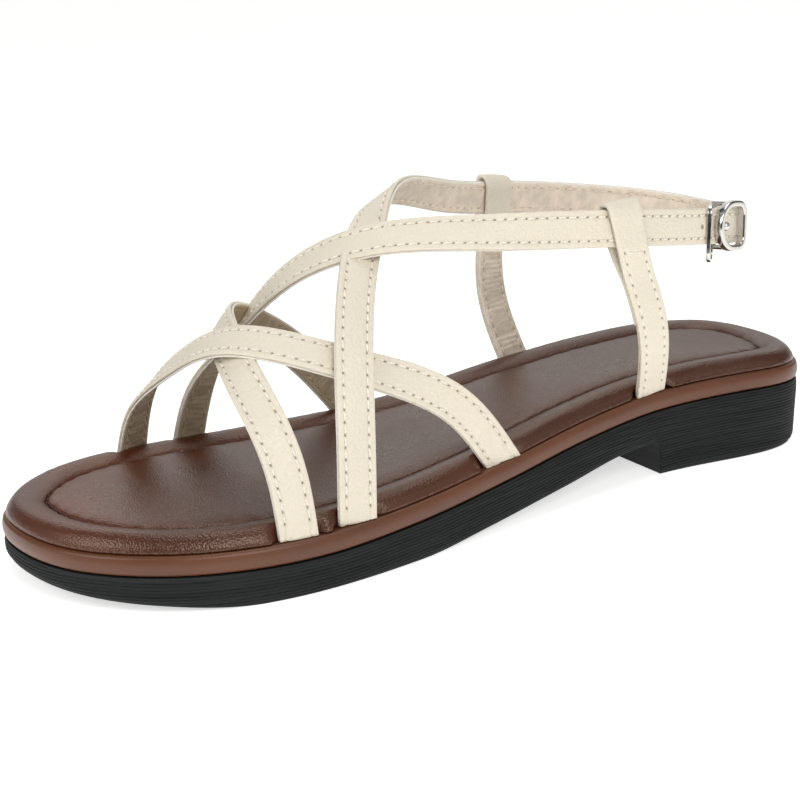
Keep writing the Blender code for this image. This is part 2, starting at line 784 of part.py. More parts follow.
    # Pockets in the edge of the insole where the straps and tabs go down to the rand
    room = 2.0 * PART_GAP
    strap_room = band_profile(STRAP_WIDTH + room, STRAP_THICKNESS + room)
    tab_room = band_profile(STRAP_WIDTH + room, TAB_THICKNESS + room)
    ends = [(routes["a"][:12], strap_room), (routes["a"][-12:][::-1], strap_room)]
    ends += [(routes["b"][:12], strap_room), (routes["b"][-12:][::-1], strap_room)]
    ends += [(routes["c"][:8], strap_room), (routes["d"][:9], strap_room)]
    ends += [(outer_stem[:6], tab_room), (inner_stem[:6], tab_room)]
    for sections, shape in ends:
        start = sections[0]
        way = (sections[1][0] - start[0]).normalized()
        below = (start[0] - way * (0.5 * RAND_THICKNESS),) + start[1:]
        cutter = sweep("pocket", [below] + sections, shape)
        pad = combine(pad, cutter, "DIFFERENCE")

    cream = material("cream_leather", (0.78, 0.70, 0.58), 0.5)
    brown = material("brown_padded_leather", (0.075, 0.030, 0.016), 0.4)
    tan = material("brown_rand_leather", (0.13, 0.048, 0.022), 0.45)
    black = material("black_rubber", (0.020, 0.022, 0.021), 0.7)
    chrome = material("polished_metal", (0.75, 0.75, 0.76), 0.15, 1.0)
    wear = (
        (rubber, black), (rand, tan), (pad, brown), (upper, cream), (outer_tab, cream),
        (inner_tab, cream), (frame, chrome), (prong, chrome), (loop, chrome),
    )
    for obj, look in wear:
        obj.data.materials.clear()
        obj.data.materials.append(look)
        work = bmesh.new()
        work.from_mesh(obj.data)
        bmesh.ops.remove_doubles(work, verts=work.verts, dist=1e-6)
        bmesh.ops.dissolve_degenerate(work, dist=1e-6, edges=work.edges)
        work.to_mesh(obj.data)
        work.free()


build()
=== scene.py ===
import math

import bpy
import numpy as np
from mathutils import Matrix, Vector, noise


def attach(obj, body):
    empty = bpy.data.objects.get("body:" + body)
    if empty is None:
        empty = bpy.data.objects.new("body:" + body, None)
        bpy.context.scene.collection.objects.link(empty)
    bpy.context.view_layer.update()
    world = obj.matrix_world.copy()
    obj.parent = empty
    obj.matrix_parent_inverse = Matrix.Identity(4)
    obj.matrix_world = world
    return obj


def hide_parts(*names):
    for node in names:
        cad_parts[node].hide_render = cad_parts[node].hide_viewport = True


bl_info = {
    "name": "Cross strap sandal",
    "version": (1, 0, 0),
    "blender": (4, 5, 0),
    "location": "View3D > Sidebar > Sandal",
    "description": "Builds the leather, rubber and metal of a left cross strap sandal round its solids",
    "category": "Object",
}

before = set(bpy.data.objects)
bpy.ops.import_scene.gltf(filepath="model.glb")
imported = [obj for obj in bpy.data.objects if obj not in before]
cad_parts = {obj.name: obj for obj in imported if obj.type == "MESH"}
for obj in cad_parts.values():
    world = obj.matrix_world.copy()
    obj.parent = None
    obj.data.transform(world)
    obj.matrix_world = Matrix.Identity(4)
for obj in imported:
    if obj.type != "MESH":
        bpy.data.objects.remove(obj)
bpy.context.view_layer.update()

# Sizes of the solids, in metres
LENGTH = 0.249
BALL_WIDTH = 0.092
SEAT_HEIGHT = 0.0209
ANKLE_HEIGHT = 0.0790
RAND_THICKNESS = 0.0053
PAD_RISE = 0.0044
PAD_INSET = 0.0025
PAD_ROLL_WIDTH = 0.0096
STRAP_WIDTH = 0.0103
STRAP_THICKNESS = 0.0021
STRAP_INSET = 0.0027
TAB_THICKNESS = 0.0024
TAB_WALL = 0.0012
TAB_BOW = 0.0045
BUCKLE_LENGTH = 0.0140
BUCKLE_HEIGHT = 0.0148
BUCKLE_BAR = 0.0019
PIN_RADIUS = 0.0007
LOOP_WIRE = 0.0011
LOOP_LEAN = -60.0
LOOP_HEIGHT = 0.0167
LOOP_DEPTH = 0.0080
LOOP_CORNER = 0.0024
LOOP_DROP = 0.0020
FOLD_WALL = 0.0009
PRONG_BALL = 0.00135
PRONG_EYE = 0.0020
OUTER_TAB_LEAN = 13.5
INNER_TAB_LEAN = 14.0
OUTER_TAB_SWAY = -0.0008
INNER_TAB_SWAY = 0.0019
FRAME_DEPTH = 0.0024
FRAME_FRONT_CORNER = 0.0060
FRAME_REAR_CORNER = 0.0034
LOOP_CLEARANCE = 0.0006
PART_GAP = 0.0003

# Outline of the sole: station along the length, outer and inner edge as shares of the ball width
OUTLINE = (
    (0.000, -0.024, -0.024), (0.017, 0.194, -0.196), (0.067, 0.323, -0.299), (0.146, 0.335, -0.337),
    (0.250, 0.307, -0.342), (0.371, 0.342, -0.338), (0.500, 0.406, -0.357), (0.629, 0.471, -0.428),
    (0.750, 0.498, -0.492), (0.854, 0.445, -0.489), (0.933, 0.318, -0.409), (0.983, 0.128, -0.270),
    (1.000, -0.109, -0.109),
)

# Top and underside of the outsole: station, height as a share of the seat height
SEAM = (
    (0.000, 0.910), (0.067, 0.966), (0.146, 1.000), (0.250, 0.961), (0.371, 0.844), (0.500, 0.641),
    (0.629, 0.497), (0.750, 0.439), (0.854, 0.454), (0.933, 0.480), (1.000, 0.491),
)
UNDERSIDE = (
    (0.000, 0.000), (0.256, 0.000), (0.260, 0.440), (0.268, 0.487), (0.290, 0.482), (0.407, 0.282),
    (0.527, 0.100), (0.620, 0.000), (0.800, 0.000), (0.909, 0.120), (1.000, 0.254),
)
OUTSOLE_SIDE = ((0.00, 1.1), (0.50, 0.6), (0.90, 0.2), (0.97, 0.25), (1.00, 0.5))
OUTSOLE_FOOT = ((0.00, 0.9), (0.04, 0.35), (0.10, 0.0), (1.00, 0.0))
RAND_SIDE = ((0.00, 1.1), (0.06, 0.62), (0.16, 0.3), (0.50, 0.0), (0.84, 0.3), (0.94, 0.62), (1.00, 1.1))

# Roll of the insole: share of the roll width, share of the pad rise; then the panel to its spine
PAD_ROLL = (
    (-0.12, 0.01), (-0.11, 0.16), (-0.03, 0.50), (0.13, 0.84), (0.38, 1.00), (0.64, 0.93), (0.86, 0.70),
    (0.96, 0.48), (1.00, 0.26),
)
PAD_PANEL = (
    (0.00, 0.26), (0.012, 0.42), (0.03, 0.56), (0.08, 0.69), (0.22, 0.81), (0.60, 0.87), (1.00, 0.88),
)

# Strap routes: station, offset as a share of the ball width, height as a share of the ankle height, and
# the way the outer face looks: turn from +Y towards +X and rise, in degrees. None stands for the rand.
STRAP_A = (
    (0.814, None, None, 162, 0), (0.809, -0.370, 0.420, 150, 18), (0.790, -0.135, 0.632, 108, 46),
    (0.760, 0.108, 0.745, 68, 58), (0.664, 0.322, 0.662, 4, 45), (0.554, 0.380, 0.474, 0, 6),
    (0.499, None, None, 0, 0),
)
STRAP_B = (
    (0.762, None, None, 6, 0), (0.762, 0.405, 0.410, 10, 8), (0.768, 0.240, 0.624, 40, 26),
    (0.757, 0.031, 0.719, 82, 36), (0.722, -0.188, 0.738, 128, 34), (0.633, -0.321, 0.571, 166, 14),
    (0.541, None, None, 180, 0),
)
STRAP_C = (
    (0.695, None, None, 5, 0), (0.687, 0.441, 0.432, 4, 6), (0.656, 0.303, 0.761, 8, 20),
    (0.601, 0.093, 0.979, 26, 34), (0.533, -0.092, 1.112, 105, 46), (0.484, -0.180, 1.098, 142, 40),
    (0.412, -0.262, 1.036, 162, 24), (0.322, -0.329, 0.990, 178, 12), (0.196, -0.322, 0.930, 192, 8),
    (0.111, -0.204, 0.884, 226, 6), (0.089, -0.079, 0.866, 258, 4), (0.095, 0.031, 0.868, 283, 3),
    (0.102, 0.116, 0.874, 303, 2), (0.117, 0.183, 0.880, 322, 2), (0.135, 0.219, 0.888, 335, 2),
    (0.147, 0.229, 0.894, 340, 2), (0.1621, 0.2407, 0.8995, 342, 3),
)
STRAP_D = (
    (0.745, None, None, 168, 0), (0.729, -0.417, 0.420, 160, 12), (0.694, -0.262, 0.686, 116, 34),
    (0.655, -0.056, 0.904, 84, 44), (0.599, 0.121, 1.009, 54, 46), (0.504, 0.245, 1.016, 28, 36),
    (0.405, 0.302, 0.992, 12, 18), (0.303, 0.330, 0.962, 0, 8), (0.205, 0.307, 0.922, -11, 4),
    (0.159, 0.275, 0.902, -17, 3), (0.129, 0.243, 0.888, -28, 2), (0.107, 0.195, 0.880, -45, 2),
    (0.090, 0.120, 0.874, -66, 2), (0.0855, 0.040, 0.870, -86, 2),
)
OUTER_TAB_STATION = 0.270
OUTER_TAB_LOOP = 0.318
INNER_TAB_STATION = 0.313
INNER_TAB_LOOP = 0.337
BUCKLE_STATION = 0.159
LOOP_STATION = 0.1845
HOLE_RADIUS = 0.00075

# Fine work of the straps: step between sections, length without stitches at a foot, spread of a stitch
# groove and of a needle hole, depth of the creases in the linings, and steps across a stitch groove
BAND_STEP = 0.00045
FOOT_END = 0.0040
GROOVE_SPREAD = 0.00030
HOLE_LENGTH = 0.00034
HOLE_WIDTH = 0.00025
CREASE_DEPTH = 0.00021
TAB_CREASE_DEPTH = 0.00038
GROOVE_STEPS = np.array([-0.0006, -0.00036, -0.0002, -0.00008, 0.00008, 0.0002, 0.00036, 0.0006])

# Soft boxes: name, place, width, power in watts; and the greys of the sky from the horizon up
LAMPS = (
    ("key", (0.12, 0.72, 0.52), 0.45, 3.1),
    ("top", (-0.20, -0.10, 0.90), 0.60, 2.4),
    ("front", (0.75, 0.10, 0.50), 0.40, 1.9),
)
SKY = (
    (0.0, 0.04), (0.20, 0.06), (0.27, 0.34), (0.36, 0.96), (0.60, 0.70), (1.0, 0.32),
)
# Greys of the cards round the set, by turn from 0 to 1: 0.17 is behind the sandal, 0.67 behind the camera
FLAGS = (
    (0.00, 0.15), (0.04, 0.15), (0.07, 1.0), (0.27, 1.0), (0.30, 0.10), (0.37, 0.10), (0.40, 0.60),
    (0.54, 0.60), (0.58, 0.22), (0.76, 0.22), (0.80, 0.60), (0.92, 0.60), (0.96, 0.15),
)
SKY_POWER = 1.5
FLOOR_GLOW = 0.60

CAMERA_PLACE = (0.21143, 0.37152, 0.1565)
CAMERA_RIGHT = (-0.8722, 0.4865, -0.0508)
CAMERA_FORWARD = (-0.4540, -0.8438, -0.2863)
CAMERA_LENS = 69.57


def linear(code):
    """Linear colour of an sRGB hex value."""
    parts = [int(code[i:i + 2], 16) / 255.0 for i in (1, 3, 5)]
    return tuple(p / 12.92 if p <= 0.04045 else ((p + 0.055) / 1.055) ** 2.4 for p in parts)


def size_prop(label, words, default):
    """Length property in metres."""
    return bpy.props.FloatProperty(name=label, description=words, default=default, unit="LENGTH", precision=5)


def colour_prop(label, words, code):
    """Colour property from an sRGB hex value."""
    return bpy.props.FloatVectorProperty(
        name=label, description=words, default=linear(code), subtype="COLOR", min=0.0, max=1.0)


class SandalSizes(bpy.types.PropertyGroup):
    """Sizes of the fine work."""

    stitch_pitch: size_prop("Stitch pitch", "Distance from one strap stitch to the next", 0.0030)
    stitch_length: size_prop("Stitch length", "Length of thread that shows in one stitch", 0.0024)
    stitch_inset: size_prop("Stitch inset", "Distance of the stitches from the strap's edge", 0.0019)
    thread_radius: size_prop("Thread radius", "Radius of the strap thread", 0.00027)
    insole_pitch: size_prop("Insole stitch pitch", "Distance between stitches in the insole channel", 0.0030)
    ridge_pitch: size_prop("Ridge pitch", "Height of one ridge on the side of the outsole", 0.0009)
    ridge_depth: size_prop("Ridge depth", "Depth of the ridges on the side of the outsole", 0.00030)
    hole_spacing: size_prop("Hole spacing", "Distance between the holes of the buckle strap", 0.0100)


class SandalColours(bpy.types.PropertyGroup):
    """Colours of the leathers, the rubber and the floor."""

    strap: colour_prop("Strap leather", "Cream face of the straps", "#DDD4C2")
    strap_edge: colour_prop("Cut edge", "White cut edge of the strap leather", "#E9E4DA")
    # The two linings are one leather in two copies: the darker one on the toe straps stands in for their
    # shade, and the lighter one on the buckle strap and the tabs is painted light
    lining: colour_prop("Lining", "Beige lining of the straps", "#BBA98F")
    lining_painted_light: colour_prop("Pale lining", "Lining of the buckle strap and the tabs", "#E8DAC8")
    thread: colour_prop("Strap thread", "Thread of the strap stitches", "#F1EADC")
    pit: colour_prop("Needle hole", "Shade inside the needle holes of the straps", "#6E5840")
    insole: colour_prop("Insole leather", "Dark brown padded leather", "#3F1A0A")
    insole_worn: colour_prop("Insole highlight", "Lighter brown of the stretched insole leather", "#5E2E18")
    rand: colour_prop("Rand leather", "Warm brown of the rand", "#5E341B")
    rubber: colour_prop("Rubber", "Black rubber of the outsole", "#161918")
    insole_thread: colour_prop("Insole thread", "Dark thread in the insole channel", "#32160D")
    floor: colour_prop("Floor", "Pale floor", "#F4F3F1")


def smooth_curve(knots, values):
    """Natural cubic spline through the values, as a function that takes an array."""
    knots = np.array(knots, float)
    values = np.array(values, float)
    count = len(knots)
    step = np.diff(knots)
    system = np.eye(count)
    right = np.zeros((count,) + values.shape[1:])
    for i in range(1, count - 1):
        system[i, i - 1:i + 2] = (step[i - 1], 2.0 * (step[i - 1] + step[i]), step[i])
        ahead = (values[i + 1] - values[i]) / step[i]
        behind = (values[i] - values[i - 1]) / step[i - 1]
        right[i] = 6.0 * (ahead - behind)
    bend = np.linalg.solve(system, right.reshape(count, -1)).reshape(right.shape)

    def at(where):
        where = np.atleast_1d(np.array(where, float))
        index = np.clip(np.searchsorted(knots, where) - 1, 0, count - 2)
        width = step[index]
        left = (knots[index + 1] - where) / width
        near = (where - knots[index]) / width
        if values.ndim > 1:
            left, near, width = left[:, None], near[:, None], width[:, None]
        straight = left * values[index] + near * values[index + 1]
        curve = (left ** 3 - left) * bend[index] + (near ** 3 - near) * bend[index + 1]
        return straight + curve * width ** 2 / 6.0

    return at


def steady_curve(rows):
    """Cubic through the rows of a table that never overshoots them."""
    knots = np.array([row[0] for row in rows], float)
    values = np.array([row[1] for row in rows], float)
    step = np.diff(knots)
    grade = np.diff(values) / step
    slope = np.zeros(len(knots))
    for i in range(1, len(knots) - 1):
        if grade[i - 1] * grade[i] > 0.0:
            slope[i] = 2.0 * grade[i - 1] * grade[i] / (grade[i - 1] + grade[i])
    slope[0], slope[-1] = grade[0], grade[-1]

    def at(where):
        where = np.clip(np.atleast_1d(np.array(where, float)), knots[0], knots[-1])
        index = np.clip(np.searchsorted(knots, where) - 1, 0, len(knots) - 2)
        width = step[index]
        t = (where - knots[index]) / width
        start = ((2 * t ** 3 - 3 * t ** 2 + 1) * values[index]
                 + (t ** 3 - 2 * t ** 2 + t) * width * slope[index])
        end = (3 * t ** 2 - 2 * t ** 3) * values[index + 1] + (t ** 3 - t ** 2) * width * slope[index + 1]
        return start + end

    return at


SEAM_CURVE = steady_curve(SEAM)
UNDERSIDE_CURVE = steady_curve(UNDERSIDE)


def seam_height(x):
    """Height of the top of the outsole."""
    return SEAM_CURVE(np.clip(np.array(x) / LENGTH + 0.5, 0.0, 1.0)) * SEAT_HEIGHT


def underside_height(x):
    """Height of the underside of the outsole."""
    return UNDERSIDE_CURVE(np.clip(np.array(x) / LENGTH + 0.5, 0.0, 1.0)) * SEAT_HEIGHT


def rand_top(x):
    """Height of the top of the rand."""
    return seam_height(x) + PART_GAP + RAND_THICKNESS


def edge_curve(column):
    """Outer or inner edge of the sole over the angle that runs from heel to toe."""
    angles = [math.acos(1.0 - 2.0 * row[0]) for row in OUTLINE]
    edge = [row[column] * BALL_WIDTH for row in OUTLINE]
    other = [row[3 - column] * BALL_WIDTH for row in OUTLINE]
    knots = [-angles[2], -angles[1]] + angles + [2.0 * math.pi - angles[-2], 2.0 * math.pi - angles[-3]]
    return smooth_curve(knots, [other[2], other[1]] + edge + [other[-2], other[-3]])


OUTER_EDGE = edge_curve(1)
INNER_EDGE = edge_curve(2)


def edge_at(station, side):
    """Edge of the sole at a station, on the outer (+1) or inner (-1) side."""
    curve = OUTER_EDGE if side > 0 else INNER_EDGE
    return float(curve(math.acos(1.0 - 2.0 * station))[0])


def sole_angles(count):
    """Angles of the stations, closer together at the heel breast."""
    angles = np.linspace(0.0, math.pi, count + 1)
    breast = np.arccos(1.0 - 2.0 * np.linspace(UNDERSIDE[1][0], UNDERSIDE[3][0], 9))
    away = np.min(np.abs(angles[:, None] - breast[None, :]), axis=1) > 0.4 * math.pi / count
    away[0] = away[-1] = True
    return np.sort(np.concatenate([angles[away], breast]))


class SoleRings:
    """Outline of the sole with its inward directions, from the heel round the outer side and back."""

    def __init__(self, count):
        angles = sole_angles(count)
        along = -0.5 * LENGTH * np.cos(angles)
        outer = np.stack([along, OUTER_EDGE(angles)], axis=1)
        inner = np.stack([along, INNER_EDGE(angles)], axis=1)[1:-1][::-1]
        self.edge = np.concatenate([outer, inner])
        tangent = np.roll(self.edge, -1, axis=0) - np.roll(self.edge, 1, axis=0)
        tangent /= np.linalg.norm(tangent, axis=1)[:, None]
        self.inward = np.stack([tangent[:, 1], -tangent[:, 0]], axis=1)
        self.count = len(self.edge)

    def inset(self, distance):
        """Outline moved inwards."""
        return self.edge + self.inward * np.asarray(distance).reshape(-1, 1)

    def spine(self, ring, margin):
        """Middle line that a ring closes on, kept a margin away from heel and toe."""
        mirrored = np.roll(ring[::-1], 1, axis=0)
        reach = 0.5 * LENGTH - margin
        middle = 0.5 * (ring[:, 1] + mirrored[:, 1])
        x = np.clip(ring[:, 0], -reach, reach)
        order = np.argsort(ring[:self.count // 2 + 1, 0])
        keep = ring[:self.count // 2 + 1][order][:, 0]
        y = np.interp(x, keep, middle[:self.count // 2 + 1][order])
        return np.stack([x, y], axis=1)


def deselect():
    """Clear the selection that the frame or the last piece left."""
    bpy.ops.object.select_all(action="DESELECT")


def skin(name, layers, close_around=True, close_ends=True, smooth_angle=None, marks=None):
    """Piece from a grid primitive whose points are moved onto the layers: one row of points per layer.

    Marks are a vector for each point, which the piece's material reads.
    """
    layers = np.asarray(layers, float)
    rows, around = layers.shape[:2]
    deselect()
    steps = around if close_around else around - 1
    bpy.ops.mesh.primitive_grid_add(x_subdivisions=rows - 1, y_subdivisions=steps, size=1.0, calc_uvs=True)
    piece = bpy.context.object
    piece.name = name
    piece.data.name = name
    count = len(piece.data.vertices)
    flat = np.empty(count * 3)
    piece.data.vertices.foreach_get("co", flat)
    flat = flat.reshape(-1, 3)
    i = np.rint((flat[:, 0] + 0.5) * (rows - 1)).astype(int)
    j = np.rint((flat[:, 1] + 0.5) * steps).astype(int) % around
    piece.data.vertices.foreach_set("co", layers[i, j].ravel())
    if marks is not None:
        field = piece.data.attributes.new("marks", "FLOAT_VECTOR", "POINT")
        field.data.foreach_set("vector", np.asarray(marks, float)[i, j].ravel())
    bpy.ops.object.mode_set(mode="EDIT")
    bpy.ops.mesh.select_all(action="SELECT")
    bpy.ops.mesh.remove_doubles(threshold=1e-6)
    if close_ends:
        bpy.ops.mesh.select_all(action="SELECT")
        bpy.ops.mesh.fill_holes(sides=0)
    bpy.ops.mesh.select_all(action="SELECT")
    bpy.ops.mesh.normals_make_consistent(inside=False)
    bpy.ops.object.mode_set(mode="OBJECT")
    if smooth_angle is None:
        bpy.ops.object.shade_smooth()
    else:
        bpy.ops.object.shade_smooth_by_angle(angle=math.radians(smooth_angle))
    return piece


def finish_piece(piece, slot_name, look, *nodes):
    """Put a piece on the root with its material, and hide the nodes that it replaces; the slot name is not
    used.
    """
    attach(piece, "root")
    if nodes:
        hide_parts(*nodes)
    piece.data.materials.clear()
    piece.data.materials.append(look)
    return piece


def node(tree, kind, links=(), **settings):
    """Add a shader node, set its fields and sockets, and link its inputs."""
    added = tree.nodes.new(kind)
    for key, value in settings.items():
        if hasattr(added, key):
            setattr(added, key, value)
        else:
            added.inputs[key.replace("_", " ").title()].default_value = value
    for socket, source in links:
        tree.links.new(source, added.inputs[socket])
    return added


def new_material(name):
    """Empty node material with its shader, returned with the tree."""
    made = bpy.data.materials.new(name)
    made.use_nodes = True
    tree = made.node_tree
    return made, tree, tree.nodes["Principled BSDF"]


def ramp(tree, source, stops):
    """Colour ramp over a value: (position, linear colour)."""
    added = tree.nodes.new("ShaderNodeValToRGB")
    elements = added.color_ramp.elements
    while len(elements) < len(stops):
        elements.new(0.5)
    for element, (position, colour) in zip(elements, stops):
        element.position = position
        element.color = (*colour, 1.0)
    tree.links.new(source, added.inputs["Fac"])
    return added.outputs["Color"]


def blend(tree, factor, first, second):
    """Mix of a colour or colour output with a second colour, by a factor output."""
    mixer = node(tree, "ShaderNodeMix", data_type="RGBA")
    tree.links.new(factor, mixer.inputs["Factor"])
    if hasattr(first, "links"):
        tree.links.new(first, mixer.inputs[6])
    else:
        mixer.inputs[6].default_value = (*first, 1.0)
    mixer.inputs[7].default_value = (*second, 1.0)
    return mixer.outputs[2]


def shade(colour, share):
    """Colour made darker or lighter by a share."""
    return tuple(min(1.0, max(0.0, c * share)) for c in colour)


def strap_leather(colours):
    """Smooth coated calf: even cream face with a fine pressed grain, white edge board, shaded holes."""
    made, tree, shader = new_material("coated_calf_leather")
    face = tuple(colours.strap)
    place = node(tree, "ShaderNodeTexCoord")
    marks = node(tree, "ShaderNodeAttribute", attribute_name="marks")
    split = node(tree, "ShaderNodeSeparateXYZ", [("Vector", marks.outputs["Vector"])])
    cloud = node(tree, "ShaderNodeTexNoise", [("Vector", place.outputs["Object"])], Scale=60.0, Detail=3.0)
    tone = ramp(tree, cloud.outputs["Fac"], ((0.3, shade(face, 0.98)), (0.7, shade(face, 1.02))))
    layer = blend(tree, split.outputs["X"], tone, colours.strap_edge)
    # Painted shade: a dark line in the recess under the rolled edge, where the X mark is 0.5, and darker
    # needle holes from the Y mark
    seam = ramp(tree, split.outputs["X"],
                ((0.0, (0.0, 0.0, 0.0)), (0.5, (0.85, 0.85, 0.85)), (0.95, (0.0, 0.0, 0.0))))
    shadow = blend(tree, seam, layer, shade(face, 0.30))
    holes = blend(tree, split.outputs["Y"], shadow, colours.pit)
    tree.links.new(holes, shader.inputs["Base Color"])
    shader.inputs["Roughness"].default_value = 0.44
    shader.inputs["Specular IOR Level"].default_value = 0.40
    # Pressed grain: cells of about 0.7 mm with pores of about 0.3 mm between them
    cells = node(tree, "ShaderNodeTexVoronoi", [("Vector", place.outputs["Object"])], Scale=1400.0,
                 feature="SMOOTH_F1")
    pores = node(tree, "ShaderNodeTexNoise", [("Vector", place.outputs["Object"])], Scale=1100.0, Detail=4.0)
    low = node(tree, "ShaderNodeBump", [("Height", pores.outputs["Fac"])], Strength=0.14, Distance=0.0004)
    high = node(tree, "ShaderNodeBump", [("Height", cells.outputs["Distance"]), ("Normal", low.outputs[0])],
                Strength=0.60, Distance=0.0004)
    tree.links.new(high.outputs[0], shader.inputs["Normal"])
    return made


def lining_leather(name, colour):
    """Thin pig split lining: matt, with creases across the strap, and painted shade in the creases and needle
    holes.
    """
    made, tree, shader = new_material(name)
    tone = tuple(colour)
    place = node(tree, "ShaderNodeTexCoord")
    marks = node(tree, "ShaderNodeAttribute", attribute_name="marks")
    split = node(tree, "ShaderNodeSeparateXYZ", [("Vector", marks.outputs["Vector"])])
    cloud = node(tree, "ShaderNodeTexNoise", [("Vector", place.outputs["Object"])], Scale=320.0, Detail=5.0)
    colour = ramp(tree, cloud.outputs["Fac"],
                  ((0.30, shade(tone, 0.86)), (0.52, tone), (0.75, shade(tone, 1.10))))
    # Painted shade: darker colour in the creases from the Z mark and in the needle holes from the Y mark
    crease_shade = blend(tree, split.outputs["Z"], colour, shade(tone, 0.45))
    holes = blend(tree, split.outputs["Y"], crease_shade, shade(tone, 0.42))
    tree.links.new(holes, shader.inputs["Base Color"])
    shader.inputs["Roughness"].default_value = 0.66
    shader.inputs["Specular IOR Level"].default_value = 0.30
    # Pores of about 0.5 mm in groups, over a soft nap
    nap = node(tree, "ShaderNodeTexNoise", [("Vector", place.outputs["Object"])], Scale=900.0, Detail=5.0,
               Distortion=0.6)
    low = node(tree, "ShaderNodeBump", [("Height", nap.outputs["Fac"])], Strength=0.40, Distance=0.0005)
    fine = node(tree, "ShaderNodeTexVoronoi", [("Vector", place.outputs["Object"])], Scale=1900.0)
    high = node(tree, "ShaderNodeBump", [("Height", fine.outputs["Distance"]), ("Normal", low.outputs[0])],
                Strength=0.22, Distance=0.0003)
    tree.links.new(high.outputs[0], shader.inputs["Normal"])
    return made


def insole_leather(colours):
    """Waxed sheepskin over foam: dark brown, lighter where stretched, with a soft shine and fine grain."""
    made, tree, shader = new_material("waxed_sheepskin")
    dark = tuple(colours.insole)
    light = tuple(colours.insole_worn)
    place = node(tree, "ShaderNodeTexCoord")
    cloud = node(tree, "ShaderNodeTexNoise", [("Vector", place.outputs["Object"])], Scale=15.0, Detail=3.0,
                 Roughness=0.5)
    colour = ramp(tree, cloud.outputs["Fac"], ((0.30, shade(dark, 0.85)), (0.55, dark), (0.85, light)))
    tree.links.new(colour, shader.inputs["Base Color"])
    polish = node(tree, "ShaderNodeTexNoise", [("Vector", place.outputs["Object"])], Scale=55.0, Detail=4.0)
    level = node(tree, "ShaderNodeMapRange", [("Value", polish.outputs["Fac"])], From_Min=0.3, From_Max=0.7,
                 To_Min=0.26, To_Max=0.35)
    tree.links.new(level.outputs[0], shader.inputs["Roughness"])
    shader.inputs["Specular IOR Level"].default_value = 0.80
    shader.inputs["Specular Tint"].default_value = (1.0, 0.82, 0.68, 1.0)
    # Soft folds of 3 to 5 mm, then a grain of about 0.5 mm
    folds = node(tree, "ShaderNodeTexNoise", [("Vector", place.outputs["Object"])], Scale=260.0, Detail=3.0,
                 Distortion=0.5)
    low = node(tree, "ShaderNodeBump", [("Height", folds.outputs["Fac"])], Strength=0.06, Distance=0.0008)
    grain = node(tree, "ShaderNodeTexVoronoi", [("Vector", place.outputs["Object"])], Scale=1900.0)
    high = node(tree, "ShaderNodeBump", [("Height", grain.outputs["Distance"]), ("Normal", low.outputs[0])],
                Strength=0.34, Distance=0.0003)
    tree.links.new(high.outputs[0], shader.inputs["Normal"])
    return made


def rand_leather(colours):
    """Vegetable tanned strip: warm brown, burnished, with faint streaks along it."""
    made, tree, shader = new_material("burnished_rand_leather")
    tone = tuple(colours.rand)
    place = node(tree, "ShaderNodeTexCoord")
    stretch = node(tree, "ShaderNodeMapping", [("Vector", place.outputs["Object"])],
                   Scale=(40.0, 40.0, 240.0))
    streaks = node(tree, "ShaderNodeTexNoise", [("Vector", stretch.outputs[0])], Scale=1.0, Detail=5.0)
    colour = ramp(tree, streaks.outputs["Fac"],
                  ((0.3, shade(tone, 0.80)), (0.55, tone), (0.8, shade(tone, 1.18))))
    tree.links.new(colour, shader.inputs["Base Color"])
    shader.inputs["Roughness"].default_value = 0.38
    grain = node(tree, "ShaderNodeTexNoise", [("Vector", place.outputs["Object"])], Scale=1500.0, Detail=3.0)
    bump = node(tree, "ShaderNodeBump", [("Height", grain.outputs["Fac"])], Strength=0.12, Distance=0.0003)
    tree.links.new(bump.outputs[0], shader.inputs["Normal"])
    return made


def outsole_rubber(colours):
    """Moulded styrene rubber: black, matt on the ridges, with a painted highlight in a little grey on the
    raised streaks and painted shade in the low ones.
    """
    made, tree, shader = new_material("moulded_rubber")
    tone = tuple(colours.rubber)
    place = node(tree, "ShaderNodeTexCoord")
    stretch = node(tree, "ShaderNodeMapping", [("Vector", place.outputs["Object"])],
                   Scale=(26.0, 26.0, 900.0))
    lines = node(tree, "ShaderNodeTexNoise", [("Vector", stretch.outputs[0])], Scale=1.0, Detail=4.0,
                 Distortion=0.3)
    # Painted highlight and shade: the colour follows the same streaks as the bump, grey where they stand up
    # and darker where they sink
    colour = ramp(tree, lines.outputs["Fac"],
                  ((0.35, shade(tone, 0.62)), (0.5, tone), (0.72, shade(tone, 1.8))))
    tree.links.new(colour, shader.inputs["Base Color"])
    shader.inputs["Roughness"].default_value = 0.62
    shader.inputs["Specular IOR Level"].default_value = 0.26
    low = node(tree, "ShaderNodeBump", [("Height", lines.outputs["Fac"])], Strength=0.5, Distance=0.0005)
    fine = node(tree, "ShaderNodeTexNoise", [("Vector", place.outputs["Object"])], Scale=2200.0, Detail=2.0)
    high = node(tree, "ShaderNodeBump", [("Height", fine.outputs["Fac"]), ("Normal", low.outputs[0])],
                Strength=0.12, Distance=0.0003)
    tree.links.new(high.outputs[0], shader.inputs["Normal"])
    return made


def waxed_thread(name, colour, roughness):
    """Twisted polyester thread: its twist shows as fine slanting lines."""
    made, tree, shader = new_material(name)
    place = node(tree, "ShaderNodeTexCoord")
    twist = node(tree, "ShaderNodeTexWave", [("Vector", place.outputs["Object"])], Scale=900.0,
                 Distortion=2.0, bands_direction="DIAGONAL")
    tone = ramp(tree, twist.outputs["Fac"], ((0.0, shade(colour, 0.82)), (1.0, shade(colour, 1.06))))
    tree.links.new(tone, shader.inputs["Base Color"])
    shader.inputs["Roughness"].default_value = roughness
    bump = node(tree, "ShaderNodeBump", [("Height", twist.outputs["Fac"])], Strength=0.3, Distance=0.0001)
    tree.links.new(bump.outputs[0], shader.inputs["Normal"])
    return made


